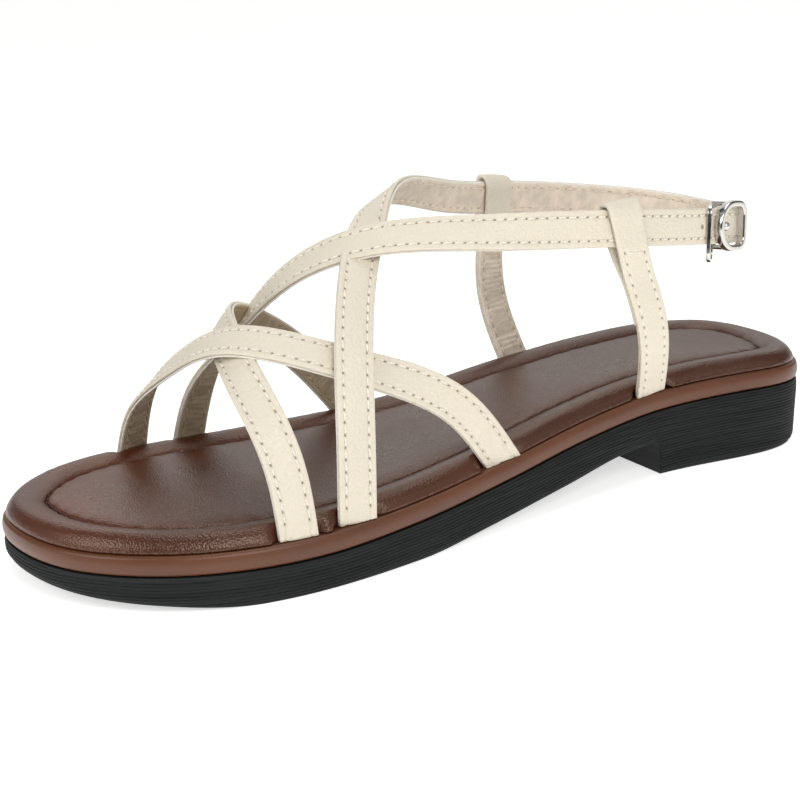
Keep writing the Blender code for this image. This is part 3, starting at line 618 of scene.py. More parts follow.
def nickel_plate():
    """Nickel plated zinc: bright mirror with a trace of hairline polishing marks."""
    made, tree, shader = new_material("polished_nickel_plate")
    place = node(tree, "ShaderNodeTexCoord")
    marks = node(tree, "ShaderNodeTexNoise", [("Vector", place.outputs["Object"])], Scale=1600.0, Detail=2.0)
    level = node(tree, "ShaderNodeMapRange", [("Value", marks.outputs["Fac"])], From_Min=0.3, From_Max=0.7,
                 To_Min=0.08, To_Max=0.16)
    tree.links.new(level.outputs[0], shader.inputs["Roughness"])
    shader.inputs["Base Color"].default_value = (*linear("#CFCDC8"), 1.0)
    shader.inputs["Metallic"].default_value = 1.0
    return made


def look(name, maker, *inputs):
    """Material by name, made the first time it is asked for."""
    found = bpy.data.materials.get(name)
    return found if found else maker(*inputs)


def foot_point(station, side):
    """Point on the rand where a strap or tab goes in under the insole."""
    x = (station - 0.5) * LENGTH
    return np.array([x, edge_at(station, side) - side * STRAP_INSET, float(rand_top(x)[0]) + PART_GAP])


def facing(turn, rise):
    """Directions from turns (from +Y towards +X) and rises above level, in degrees."""
    turn = np.radians(turn)
    rise = np.radians(rise)
    return np.stack([np.sin(turn) * np.cos(rise), np.cos(turn) * np.cos(rise), np.sin(rise)], axis=-1)


def unit(vectors):
    """Vectors of length 1."""
    return vectors / np.linalg.norm(vectors, axis=-1, keepdims=True)


def chord_lengths(points):
    """Distance along a row of points, at each of them."""
    return np.concatenate([[0.0], np.cumsum(np.linalg.norm(np.diff(points, axis=0), axis=1))])


def up_and_forward(tangent, wide):
    """Directions of a place on the ankle strap: upwards across it, and along it towards the toe."""
    return (wide if wide[2] > 0.0 else -wide), (tangent if tangent[0] > 0.0 else -tangent)


class Band:
    """Centre line of a strap with its tangent, outer face and width directions at even steps."""

    def __init__(self, points, along, out=None, wide=None):
        self.points = points
        self.along = along
        self.tangent = unit(np.gradient(points, along, axis=0, edge_order=2))
        if wide is None:
            out = out - self.tangent * np.sum(out * self.tangent, axis=1)[:, None]
            self.out = unit(out)
            self.wide = np.cross(self.out, self.tangent)
        else:
            self.wide = unit(wide)
            self.out = unit(np.cross(self.tangent, self.wide))

    def at(self, where):
        """Point, tangent, out and wide at distances along the strap."""
        where = np.atleast_1d(where)
        mixed = []
        for field in (self.points, self.tangent, self.out, self.wide):
            mixed.append(np.stack([np.interp(where, self.along, field[:, k]) for k in range(3)], axis=1))
        return mixed[0], unit(mixed[1]), unit(mixed[2]), unit(mixed[3])

    def where_x(self, station, last=False):
        """Distance along the strap where its centre passes a station."""
        x = (station - 0.5) * LENGTH
        side = self.points[:, 0] - x
        hits = np.nonzero(side[:-1] * side[1:] <= 0.0)[0]
        i = hits[-1] if last else hits[0]
        share = side[i] / (side[i] - side[i + 1])
        return self.along[i] + share * (self.along[i + 1] - self.along[i])


def route(rows):
    """Band of a strap from its table."""
    points = []
    for station, offset, height, turn, _rise in rows:
        if height is None:
            points.append(foot_point(station, 1 if math.cos(math.radians(turn)) > 0.0 else -1))
        else:
            points.append(np.array([(station - 0.5) * LENGTH, offset * BALL_WIDTH, height * ANKLE_HEIGHT]))
    points = np.array(points)
    chords = chord_lengths(points)
    centre = smooth_curve(chords, points)
    looks = smooth_curve(chords, [(row[3], row[4]) for row in rows])
    along = np.linspace(0.0, chords[-1], int(chords[-1] / BAND_STEP) + 1)
    angles = looks(along)
    return Band(centre(along), along, out=facing(angles[:, 0], angles[:, 1]))


ROUTES = {"a": route(STRAP_A), "b": route(STRAP_B), "c": route(STRAP_C), "d": route(STRAP_D)}
BOTH_FEET = {"a": True, "b": True, "c": False, "d": False}


def strap_profile(inset):
    """Leather of a strap in section, with its layer marks.

    The face has a cushioned middle, a groove for the stitches and a raised rim. It rolls over at both edges
    onto a thin white board, which stands out below it.
    """
    half = 0.5 * STRAP_WIDTH
    top = 0.5 * STRAP_THICKNESS
    groove = half - inset
    across = np.concatenate([np.linspace(0.0, groove - 0.0011, 5), groove + GROOVE_STEPS, [half - 0.00062]])
    across = np.concatenate([-across[:0:-1], across])
    dip = 0.00017 * np.exp(-((np.abs(across) - groove) / GROOVE_SPREAD) ** 2)
    crown = 0.00014 * np.clip(np.abs(across) / groove, 0.0, 1.0) ** 2
    rows = [(w, top - c - d, 0.0) for w, c, d in zip(across, crown, dip)]
    roll = 0.00050
    side = []
    for turn in (70.0, 45.0, 20.0, -5.0, -30.0, -55.0, -78.0):
        angle = math.radians(turn)
        outwards = half - roll + roll * math.cos(angle)
        side.append((outwards, top - 0.00012 - roll + roll * math.sin(angle), 0.0))
    # The two points in the recess under the rolled edge are marked 0.5, where the material paints a shade
    # line; the board is marked 1
    side += [
        (half - 0.00072, -0.00008, 0.5), (half - 0.00060, -0.00016, 0.5), (half - 0.00012, -0.00020, 1.0),
        (half + 0.00002, -0.00030, 1.0), (half + 0.00002, -0.00062, 1.0), (half - 0.00014, -0.00074, 1.0),
        (half - 0.00060, -0.00076, 1.0),
    ]
    rows += side + [(w, -0.00076, 1.0) for w in (0.4 * half, 0.0, -0.4 * half)]
    rows += [(-w, t, m) for w, t, m in side[::-1]]
    return np.array(rows), len(across)


def lining_profile(inset, outer_level, inner_level):
    """Lining in section: a thin strip a little narrower than the strap, on its inner side."""
    half = 0.5 * STRAP_WIDTH - 0.00048
    groove = 0.5 * STRAP_WIDTH - inset
    across = np.concatenate([np.linspace(0.0, groove - 0.0011, 6), groove + GROOVE_STEPS, [half - 0.0002]])
    across = np.concatenate([-across[:0:-1], across])
    dip = 0.00010 * np.exp(-((np.abs(across) - groove) / GROOVE_SPREAD) ** 2)
    edge = np.where(np.abs(across) > half - 0.0003, 0.00012, 0.0)
    rows = [(w, inner_level + d + e, 0.0) for w, d, e in zip(across, dip, edge)]
    ends = [(half, 0.5 * (outer_level + inner_level), 0.0), (half, outer_level, 0.0)]
    rows += ends + [(-w, t, m) for w, t, m in ends[::-1]]
    return np.array(rows), len(across)


def needle_holes(band, begin, end, pitch):
    """Distances along a band of its needle holes."""
    count = max(1, int((end - begin) / pitch))
    return begin + np.arange(count + 1) * (end - begin) / count


def hole_field(band, profile, count, holes, inset):
    """How deep each point of a face lies in a needle hole, from 0 to 1."""
    groove = 0.5 * STRAP_WIDTH - inset
    along = np.full(len(band.along), 1.0)
    if len(holes):
        along = np.min(np.abs(band.along[:, None] - holes[None, :]), axis=1)
    lengthways = np.exp(-(along / HOLE_LENGTH) ** 2)
    sideways = np.exp(-((np.abs(profile[:, 0]) - groove) / HOLE_WIDTH) ** 2)
    sideways[count:] = 0.0
    return lengthways[:, None] * sideways[None, :]


def level_end(ring, tangent):
    """End of a strap cut level with the top of the rand."""
    bed = rand_top(ring[:, 0]) + PART_GAP
    return ring + tangent[None, :] * ((bed - ring[:, 2]) / tangent[2])[:, None]


def lay_profile(band, profile, width_share=None, stands=(False, False), ripple=None):
    """Layers of a piece: the profile carried along a band."""
    layers = (band.points[:, None, :] + band.wide[:, None, :] * profile[None, :, 0, None]
              * (1.0 if width_share is None else width_share[:, None, None])
              + band.out[:, None, :] * profile[None, :, 1, None])
    if ripple is not None:
        layers = layers + band.out[:, None, :] * ripple[:, :, None]
    for end, index in ((0, 0), (1, -1)):
        if stands[end]:
            layers[index] = level_end(layers[index], band.tangent[index])
    return layers


def ripple_of(points, scale, depth, seed):
    """Soft creases: noise at the points, with wavelength from the scale."""
    flat = points.reshape(-1, 3) * scale + seed
    values = np.array([noise.noise(Vector(p)) for p in flat])
    return (values * depth).reshape(points.shape[:-1])


def thread_stitches(name, starts, ends, outs, radius, lift):
    """Stitches as one piece: a short rounded thread, modelled once and copied between each pair of points."""
    deselect()
    bpy.ops.mesh.primitive_uv_sphere_add(segments=6, ring_count=6, radius=1.0)
    seed = bpy.context.object
    base = np.array([v.co[:] for v in seed.data.vertices])
    polygons = [tuple(p.vertices) for p in seed.data.polygons]
    bpy.data.objects.remove(seed, do_unlink=True)
    starts, ends, outs = np.array(starts), np.array(ends), np.array(outs)
    middle = 0.5 * (starts + ends)
    half = 0.5 * np.linalg.norm(ends - starts, axis=1)
    way = unit(ends - starts)
    outs = unit(outs - way * np.sum(outs * way, axis=1)[:, None])
    side = np.cross(outs, way)
    # The thread arches: its ends dive into the leather and its middle stands proud
    arch = lift * (1.0 - base[:, 2] ** 2) - 0.6 * radius * base[:, 2] ** 2
    full = np.clip(1.0 - np.abs(base[:, 2]) ** 6, 0.0, 1.0) ** 0.5
    ring = np.linalg.norm(base[:, :2], axis=1)
    ring[ring == 0.0] = 1.0
    x = base[:, 0] / ring * radius * full
    y = base[:, 1] / ring * radius * full
    verts = (middle[:, None, :] + way[:, None, :] * (base[None, :, 2, None] * half[:, None, None])
             + side[:, None, :] * x[None, :, None] + outs[:, None, :] * (y + arch)[None, :, None])
    verts = verts.reshape(-1, 3)
    step = len(base)
    faces = [tuple(index + k * step for index in polygon) for k in range(len(starts)) for polygon in polygons]
    mesh = bpy.data.meshes.new(name)
    mesh.from_pydata([tuple(v) for v in verts], [], faces)
    piece = bpy.data.objects.new(name, mesh)
    bpy.context.scene.collection.objects.link(piece)
    deselect()
    piece.select_set(True)
    bpy.context.view_layer.objects.active = piece
    bpy.ops.object.mode_set(mode="EDIT")
    bpy.ops.mesh.select_all(action="SELECT")
    bpy.ops.mesh.normals_make_consistent(inside=False)
    bpy.ops.object.mode_set(mode="OBJECT")
    bpy.ops.object.shade_smooth()
    return piece


def row_of_stitches(band, holes, offset, height, sizes):
    """Stitches from hole to hole along a band: starts, ends and outward directions."""
    spare = 0.5 * (holes[1] - holes[0] - sizes.stitch_length)
    a_point, _t, a_out, a_wide = band.at(holes[:-1] + spare)
    b_point, _t, b_out, b_wide = band.at(holes[1:] - spare)
    slant = 0.00010 * math.copysign(1.0, height)
    starts = a_point + a_wide * (offset - slant) + a_out * height
    ends = b_point + b_wide * (offset + slant) + b_out * height
    return starts, ends, (a_out + b_out) * math.copysign(1.0, height)


class SANDAL_OT_outsole(bpy.types.Operator):
    """Build the rubber outsole with its ridged side, heel block and tread"""

    bl_idname = "sandal.outsole"
    bl_label = "Outsole"

    def execute(self, context):
        """Rings from the middle of the top, down the ridged side and in over the tread."""
        sizes = context.scene.sandal_sizes
        rings = SoleRings(230)
        top = rings.inset(0.0005)
        layers = []
        spine = rings.spine(top, 0.02)
        for share in (0.0, 0.5):
            ring = spine + (top - spine) * share
            layers.append(np.column_stack([ring, seam_height(ring[:, 0])]))
        side_rows = 104
        deepest = float(np.max(seam_height(rings.edge[:, 0]) - underside_height(rings.edge[:, 0])))
        for k in range(side_rows + 1):
            ring = rings.inset(self.inset_at(rings, deepest * k / side_rows))
            low = underside_height(ring[:, 0])
            high = seam_height(ring[:, 0])
            level = np.maximum(low, high - deepest * k / side_rows)
            # Level ridges that wander a little, like sawn wood
            wander = ripple_of(np.column_stack([ring, level]), 45.0, 0.55, 3.1)
            phase = (high - level) / sizes.ridge_pitch + wander
            cut = (0.5 - 0.5 * np.cos(2.0 * math.pi * phase)) ** 2
            fade = np.clip(np.minimum(high - level, level - low) / 0.0006, 0.0, 1.0)
            ring = ring + rings.inward * (cut * sizes.ridge_depth * fade)[:, None]
            layers.append(np.column_stack([ring, level]))
        bottom = rings.inset(self.inset_at(rings, deepest))
        spine = rings.spine(bottom, 0.02)
        for share in (0.985, 0.97, 0.9, 0.8, 0.7, 0.6, 0.5, 0.4, 0.3, 0.2, 0.1, 0.0):
            ring = spine + (bottom - spine) * share
            layers.append(np.column_stack([ring, underside_height(ring[:, 0])]))
        piece = skin("outsole_rubber", layers, close_ends=False, smooth_angle=42.0)
        rubber = look("moulded_rubber", outsole_rubber, context.scene.sandal_colours)
        finish_piece(piece, "black_rubber", rubber, "outsole")
        return {"FINISHED"}

    def inset_at(self, rings, depth):
        """How far the side stands in at a depth below the seam: a taper from the seam and a rounded foot."""
        low = underside_height(rings.edge[:, 0])
        high = seam_height(rings.edge[:, 0])
        level = np.maximum(low, high - depth)
        taper = steady_curve(OUTSOLE_SIDE)(np.clip(1.0 - (high - level) / SEAT_HEIGHT, 0.0, 1.0))
        foot = steady_curve(OUTSOLE_FOOT)(np.clip((level - low) / SEAT_HEIGHT, 0.0, 1.0))
        return (taper + foot) / 1000.0


class SANDAL_OT_midsole(bpy.types.Operator):
    """Build the rounded leather rand between the outsole and the insole"""

    bl_idname = "sandal.midsole"
    bl_label = "Rand"

    def execute(self, context):
        """Rings from under the rand, round its side and in over its top."""
        rings = SoleRings(200)
        inset = steady_curve(RAND_SIDE)
        layers = []
        under = rings.inset(RAND_SIDE[0][1] / 1000.0)
        spine = rings.spine(under, 0.02)
        base = PART_GAP
        for share in (0.0, 0.9):
            ring = spine + (under - spine) * share
            layers.append(np.column_stack([ring, seam_height(ring[:, 0]) + base]))
        for k in range(25):
            share = 0.5 - 0.5 * math.cos(math.pi * k / 24.0)
            ring = rings.inset(float(inset(share)[0]) / 1000.0)
            level = seam_height(ring[:, 0]) + base + RAND_THICKNESS * share
            sway = ripple_of(np.column_stack([ring, level]), 70.0, 0.00009, 8.0)
            ring = ring + rings.inward * (0.00009 + sway)[:, None]
            layers.append(np.column_stack([ring, level]))
        for share in (0.95, 0.9, 0.5, 0.0):
            ring = spine + (under - spine) * share
            layers.append(np.column_stack([ring, rand_top(ring[:, 0])]))
        piece = skin("rand", layers, close_ends=False)
        leather = look("burnished_rand_leather", rand_leather, context.scene.sandal_colours)
        finish_piece(piece, "rand_leather", leather, "midsole")
        return {"FINISHED"}


def press_behind(points, band, begin, end, half_width, clearance):
    """Move points that a strap would cut through to just behind its inner face."""
    inside = (band.along >= begin) & (band.along <= end)
    centres = band.points[inside]
    tangents = band.tangent[inside]
    outs = band.out[inside]
    wides = band.wide[inside]
    near = np.linalg.norm(points - centres[len(centres) // 2], axis=1) < (end - begin) + 0.02
    index = np.nonzero(near)[0]
    if not len(index):
        return points
    delta = points[index][:, None, :] - centres[None, :, :]
    gap = np.abs(np.einsum("ijk,jk->ij", delta, tangents))
    best = np.argmin(gap + 0.3 * np.linalg.norm(delta, axis=2), axis=1)
    rows = np.arange(len(index))
    local = delta[rows, best]
    across = np.einsum("ij,ij->i", local, wides[best])
    depth = np.einsum("ij,ij->i", local, outs[best])
    along = gap[rows, best]
    # The hollow runs out over this width beside the strap. Points that lie past its ends, or further out
    # than 4.5 mm from its centre line, stay where they are
    beside = 0.0022
    reach = np.clip((half_width + beside - np.abs(across)) / beside, 0.0, 1.0)
    reach = reach * reach * (3.0 - 2.0 * reach)
    abreast = along < 0.0016
    close = depth < 0.0045
    push = np.clip(depth + clearance, 0.0, None) * reach * abreast * close
    moved = points.copy()
    moved[index] -= outs[best] * push[:, None]
    return moved


class SANDAL_OT_insole(bpy.types.Operator):
    """Build the padded insole with its roll, stitched channel and cushioned panel"""

    bl_idname = "sandal.insole"
    bl_label = "Insole"

    def execute(self, context):
        """Rings from under the pad, over the roll, through the channel and in over the panel."""
        sizes = context.scene.sandal_sizes
        colours = context.scene.sandal_colours
        rings = SoleRings(240)
        roll_share = np.array([row[0] for row in PAD_ROLL])
        roll_rise = np.array([row[1] for row in PAD_ROLL])
        knots = np.concatenate([[0.0], np.cumsum(np.hypot(np.diff(roll_share) * PAD_ROLL_WIDTH,
                                                          np.diff(roll_rise) * PAD_RISE))])
        roll = smooth_curve(knots, np.stack([roll_share, roll_rise], axis=1))
        under = rings.inset(PAD_INSET)
        spine = rings.spine(under, 0.03)
        layers = []
        for share in (0.0, 0.6):
            ring = spine + (under - spine) * share
            layers.append(np.column_stack([ring, rand_top(ring[:, 0]) + PART_GAP]))
        profile = roll(np.linspace(0.0, knots[-1], 30))
        for share, rise in profile:
            ring = rings.inset(PAD_INSET + PAD_ROLL_WIDTH * share)
            level = rand_top(ring[:, 0]) + PART_GAP + PAD_RISE * max(rise, 0.0)
            layers.append(np.column_stack([ring, level]))
        channel = rings.inset(PAD_INSET + PAD_ROLL_WIDTH)
        spine = rings.spine(channel, 0.035)
        panel = steady_curve(PAD_PANEL)
        for share in (0.006, 0.012, 0.02, 0.035, 0.05, 0.07, 0.10, 0.14, 0.19, 0.25, 0.32,
                      0.4, 0.5, 0.6, 0.7, 0.8, 0.9, 1.0):
            ring = channel + (spine - channel) * share
            level = rand_top(ring[:, 0]) + PART_GAP + PAD_RISE * float(panel(share)[0])
            layers.append(np.column_stack([ring, level]))
        layers = np.array(layers)
        shape = layers.shape
        # Puckers at the stitches and soft folds of the leather over the foam
        round_at = chord_lengths(channel)
        pucker = np.sin(2.0 * math.pi * round_at / (2.0 * sizes.insole_pitch))
        first = 2
        for row in range(first, shape[0]):
            x_across = (row - (first + len(profile))) / 6.0
            close = math.exp(-x_across * x_across)
            layers[row, :, 2] += 0.00014 * close * pucker
        top = layers[first + 8:]
        top[:, :, 2] += ripple_of(top * np.array([1.0, 1.0, 0.3]), 70.0, 0.00018, 5.0)
        top[:, :, 2] += ripple_of(top * np.array([1.6, 0.6, 0.3]), 330.0, 0.00006, 9.0)
        points = layers[first:].reshape(-1, 3)
        width = 0.5 * STRAP_WIDTH + 0.0002
        clear = 0.5 * STRAP_THICKNESS + 0.0002
        for key, both in BOTH_FEET.items():
            band = ROUTES[key]
            points = press_behind(points, band, 0.0, 0.016, width, clear)
            if both:
                points = press_behind(points, band, band.along[-1] - 0.016, band.along[-1], width, clear)
        for stem in (TABS["outer"]["stem"], TABS["inner"]["stem"]):
            points = press_behind(points, stem, 0.0, 0.012, width, 0.5 * TAB_THICKNESS + 0.0002)
        layers[first:] = points.reshape(layers[first:].shape)
        floor_level = rand_top(layers[:, :, 0].ravel()).reshape(shape[:2]) + PART_GAP
        layers[:, :, 2] = np.maximum(layers[:, :, 2], floor_level)
        piece = skin("padded_insole", layers, close_ends=False)
        finish_piece(piece, "insole_leather", look("waxed_sheepskin", insole_leather, colours), "insole")
        # Thread in the channel
        line = layers[first + len(profile) + 1]
        line = np.concatenate([line, line[:1]])
        reach = chord_lengths(line)
        count = int(reach[-1] / sizes.insole_pitch)
        begin = np.arange(count) * reach[-1] / count
        starts = np.stack([np.interp(begin, reach, line[:, k]) for k in range(3)], axis=1)
        ends = np.stack([np.interp(begin + 0.0022, reach, line[:, k]) for k in range(3)], axis=1)
        up = np.tile([0.0, 0.0, 1.0], (count, 1))
        thread = thread_stitches("insole_thread", starts, ends, up, 0.00030, 0.00034)
        finish_piece(thread, "insole_leather", look("insole_polyester_thread", waxed_thread,
                     "insole_polyester_thread", tuple(colours.insole_thread), 0.5))
        return {"FINISHED"}


def tab_bands(foot_station, side, band, loop_where, lean, sway, tail, tilt):
    """Centre lines of a quarter tab: its stem, and the leather that goes up it, round the strap and down.

    The tail is how much of the stem the turned-back end covers, and the tilt is that of the fold.
    """
    point, tangent, out, wide = (field[0] for field in band.at(loop_where))
    up, toe = up_and_forward(tangent, wide)
    rising = up + toe * math.tan(math.radians(lean))
    half_out = 0.5 * STRAP_THICKNESS + LOOP_CLEARANCE
    half_up = 0.5 * STRAP_WIDTH + LOOP_CLEARANCE
    foot = foot_point(foot_station, side)
    head = point - rising * (half_up + 0.95 * TAB_WALL)
    middle = 0.5 * (foot + head) + np.array([sway, side * TAB_BOW, 0.0])
    knots = [0.0, np.linalg.norm(middle - foot)]
    knots.append(knots[1] + np.linalg.norm(head - middle))
    along = np.linspace(0.0, knots[-1], 121)
    share = (along / knots[-1])[:, None]
    face = np.array([0.0, float(side), 0.0]) * (1.0 - share) + out * share
    stem = Band(smooth_curve(knots, [foot, middle, head])(along), along, out=face)
    way = toe if np.dot(toe, stem.wide[-1]) > 0.0 else -toe
    turned = np.clip((share - 7.0 / 12.0) / (5.0 / 12.0), 0.0, 1.0)
    stem = Band(stem.points, along, wide=stem.wide * (1.0 - turned) + way * turned)
    layer = 0.5 * TAB_WALL + 0.00003
    stems = list(range(0, 100, 6))
    path = [stem.points[i] + stem.out[i] * layer for i in stems]
    lines = [stem.wide[i] for i in stems]
    reach = half_out + 0.5 * TAB_WALL
    for level in (-0.9, -0.3, 0.3, 0.85):
        path.append(point + out * reach + rising * (half_up * level))
    for angle in (55.0, 90.0, 125.0):
        turn = math.radians(angle)
        path.append(point + out * (reach * math.cos(turn)) + rising * (half_up * 0.85 + (half_up * 0.15
                    + 0.5 * TAB_WALL) * math.sin(turn)) + up * (0.5 * STRAP_WIDTH * tilt * math.sin(turn)))
    for level in (0.85, 0.3, -0.3, -0.9):
        path.append(point - out * reach + rising * (half_up * level))
    lines += [way] * 4
    lines += [unit(way - up * (tilt * math.sin(math.radians(angle)))) for angle in (55.0, 90.0, 125.0)]
    lines += [way] * 4
    top = len(stems) + 5
    back = list(range(98, 98 - tail, -6))
    path += [stem.points[i] - stem.out[i] * (layer + 0.00012) for i in back]
    lines += [stem.wide[i] for i in back]
    path = np.array(path)
    chords = chord_lengths(path)
    spread = np.linspace(0.0, chords[-1], int(chords[-1] / BAND_STEP))
    wides = np.stack([np.interp(spread, chords, np.array(lines)[:, k]) for k in range(3)], axis=1)
    strip = Band(smooth_curve(chords, path)(spread), spread, wide=wides)
    return {"stem": stem, "strip": strip, "top": chords[top], "box": chords[len(stems)] - 0.0017,
            "back": back[-1]}


TABS = {
    "outer": tab_bands(OUTER_TAB_STATION, 1, ROUTES["d"], ROUTES["d"].where_x(OUTER_TAB_LOOP, True),
                       OUTER_TAB_LEAN, OUTER_TAB_SWAY, 36, 0.17),
    "inner": tab_bands(INNER_TAB_STATION, -1, ROUTES["c"], ROUTES["c"].where_x(INNER_TAB_LOOP),
                       INNER_TAB_LEAN, INNER_TAB_SWAY, 6, 0.03),
}


def cut_band(band, begin, end):
    """Part of a band between two distances along it."""
    keep = (band.along >= begin) & (band.along <= end)
    return Band(band.points[keep], band.along[keep], wide=band.wide[keep])


def tab_profile(inset, grooved):
    """Leather of a tab in section: rolled edges, flat back, and grooves for the stitches if it has them."""
    half = 0.5 * STRAP_WIDTH
    top = 0.5 * TAB_WALL
    groove = half - inset
    across = np.concatenate([np.linspace(0.0, groove - 0.0011, 5), groove + GROOVE_STEPS, [half - 0.0006]])
    across = np.concatenate([-across[:0:-1], across])
    dip = 0.00015 * np.exp(-((np.abs(across) - groove) / GROOVE_SPREAD) ** 2) * grooved
    rows = [(w, top - d - 0.00008 * (w / half) ** 2, 0.0) for w, d in zip(across, dip)]
    roll = 0.00048
    side = []
    for turn in (65.0, 35.0, 5.0, -25.0, -55.0):
        angle = math.radians(turn)
        side.append((half - roll + roll * math.cos(angle), top - 0.0001 - roll + roll * math.sin(angle), 0.0))
    # The point in the recess under the rolled edge is marked 0.5, where the material paints a shade line; the
    # board is marked 1
    side += [(half - 0.00036, -0.6 * top, 0.5), (half - 0.00012, -0.8 * top, 1.0), (half - 0.0003, -top, 1.0)]
    rows += side + [(w, -top, 1.0) for w in (0.5 * half, 0.0, -0.5 * half)]
    rows += [(-w, t, m) for w, t, m in side[::-1]]
    return np.array(rows), len(across)


def dress_band(name, band, sizes, looks, ends, shares=None):
    """Leather face, lining and stitches of a strap along a band; the face is returned."""
    leather, lining, thread, lining_thread = looks
    begin = band.along[0] + ends[0]
    finish = band.along[-1] - ends[1]
    stands = (ends[0] > 0.003, ends[1] > 0.003 and shares is None)
    holes = needle_holes(band, begin, finish, sizes.stitch_pitch)
    inset = sizes.stitch_inset
    groove = 0.5 * STRAP_WIDTH - inset
    profile, count = strap_profile(inset)
    pits = hole_field(band, profile, count, holes, inset)
    layers = lay_profile(band, profile, shares, stands, ripple=-0.00026 * pits)
    # Marks: X for the white board and the painted shade line in the recess, Y for the painted shade in the
    # needle holes
    marks = np.zeros(layers.shape)
    marks[:, :, 0] = profile[None, :, 2]
    marks[:, :, 1] = np.clip(1.15 * pits, 0.0, 1.0)
    face = skin("strap_" + name, layers, marks=marks)
    finish_piece(face, "strap_leather", leather, "upper")

    strip, count = lining_profile(inset, -0.00070, -0.5 * STRAP_THICKNESS)
    pits = hole_field(band, strip, count, holes, inset)
    creases = crease_field(band, strip, count, 7.0)
    layers = lay_profile(band, strip, shares, stands, ripple=0.00020 * pits + CREASE_DEPTH * creases)
    # Marks: Y for painted shade in the needle holes, Z for painted shade in the creases, faint on the buckle
    # strap and strong on the toe straps
    marks = np.zeros(layers.shape)
    marks[:, :, 1] = pits
    marks[:, :, 2] = np.clip(creases, 0.0, 1.0) * (0.14 if name == "c" else 0.80)
    inner = skin("lining_" + name, layers, marks=marks)
    finish_piece(inner, "strap_leather", lining)

    for label, height, look_of in (("stitches_", 0.5 * STRAP_THICKNESS - 0.00026, thread),
                                   ("lining_stitches_", -0.5 * STRAP_THICKNESS + 0.00022, lining_thread)):
        groups = [row_of_stitches(band, holes, side * groove, height, sizes) for side in (-1.0, 1.0)]
        sewn = thread_stitches(label + name, *[np.concatenate(part) for part in zip(*groups)],
                               sizes.thread_radius, 0.00020)
        finish_piece(sewn, "strap_leather", look_of)
    return face, inner


def crease_field(band, profile, count, seed):
    """Creases across a lining about 2 mm apart: depth of each point from 0 to 1, none at its edges."""
    width = 0.5 * STRAP_WIDTH
    fade = np.clip((width - 0.0009 - np.abs(profile[:, 0])) / 0.0009, 0.0, 1.0)
    fade[count:] = 0.0
    field = np.zeros((len(band.along), len(profile)))
    for i, along in enumerate(band.along):
        for j, across in enumerate(profile[:count, 0]):
            spot = Vector((along / 0.0016 + 0.35 * across / width, across / 0.0180, seed))
            wave = 1.0 - 2.2 * abs(noise.noise(spot))
            field[i, j] = max(0.0, wave) ** 2
    strength = 0.75 + 0.60 * np.array([noise.noise(Vector((a / 0.011, seed, 0.0))) for a in band.along])
    return field * fade[None, :] * np.clip(strength, 0.30, 1.0)[:, None]


def strap_looks(colours, pale):
    """Materials of a strap: leather, lining and their threads."""
    # The lighter copy of the lining is painted light, for the buckle strap and the tabs; the darker copy is
    # painted shade on the toe straps
    lining = "pale_split_lining" if pale else "pig_split_lining"
    tone = tuple(colours.lining_painted_light if pale else colours.lining)
    return (
        look("coated_calf_leather", strap_leather, colours), look(lining, lining_leather, lining, tone),
        look("strap_polyester_thread", waxed_thread, "strap_polyester_thread", tuple(colours.thread), 0.5),
        look(lining + "_thread", waxed_thread, lining + "_thread", shade(tone, 1.04), 0.6),
    )


class SANDAL_OT_straps(bpy.types.Operator):
    """Build the four crossed straps with their linings and stitches"""

    bl_idname = "sandal.straps"
    bl_label = "Straps"

    def execute(self, context):
        """Leather, lining and thread of each strap, and the holes of the buckle strap."""
        sizes = context.scene.sandal_sizes
        for key, band in ROUTES.items():
            # The buckle strap gets the lighter lining, which is painted light
            looks = strap_looks(context.scene.sandal_colours, key == "c")
            shares = None
            ends = (FOOT_END, FOOT_END)
            if key == "c":
                ends = (FOOT_END, 0.0016)
            if key == "d":
                ends = (FOOT_END, 0.0046)
                left = (band.along[-1] - band.along) / 0.0052
                shares = np.where(left < 1.0, np.sqrt(np.clip(1.0 - (1.0 - left) ** 2, 0.02, 1.0)), 1.0)
            pieces = dress_band(key, band, sizes, looks, ends, shares)
            if key == "d":
                for piece in pieces:
                    self.punch(piece, band, sizes)
        return {"FINISHED"}

    def punch(self, piece, band, sizes):
        """Cut the row of buckle holes through a layer of the ankle strap."""
        middle = band.where_x(BUCKLE_STATION, True) - 0.0017
        for k in (-1, 0):
            point, _t, out, _w = (field[0] for field in band.at(middle + k * sizes.hole_spacing))
            deselect()
            turn = Vector(out).to_track_quat("Z", "Y").to_euler()
            bpy.ops.mesh.primitive_cylinder_add(vertices=20, radius=HOLE_RADIUS, depth=0.006, location=point,
                                                rotation=turn)
            tool = bpy.context.object
            bpy.context.view_layer.objects.active = piece
            cut = piece.modifiers.new("hole", "BOOLEAN")
            cut.operation = "DIFFERENCE"
            cut.solver = "EXACT"
            cut.object = tool
            bpy.ops.object.modifier_apply(modifier=cut.name)
            bpy.data.objects.remove(tool, do_unlink=True)


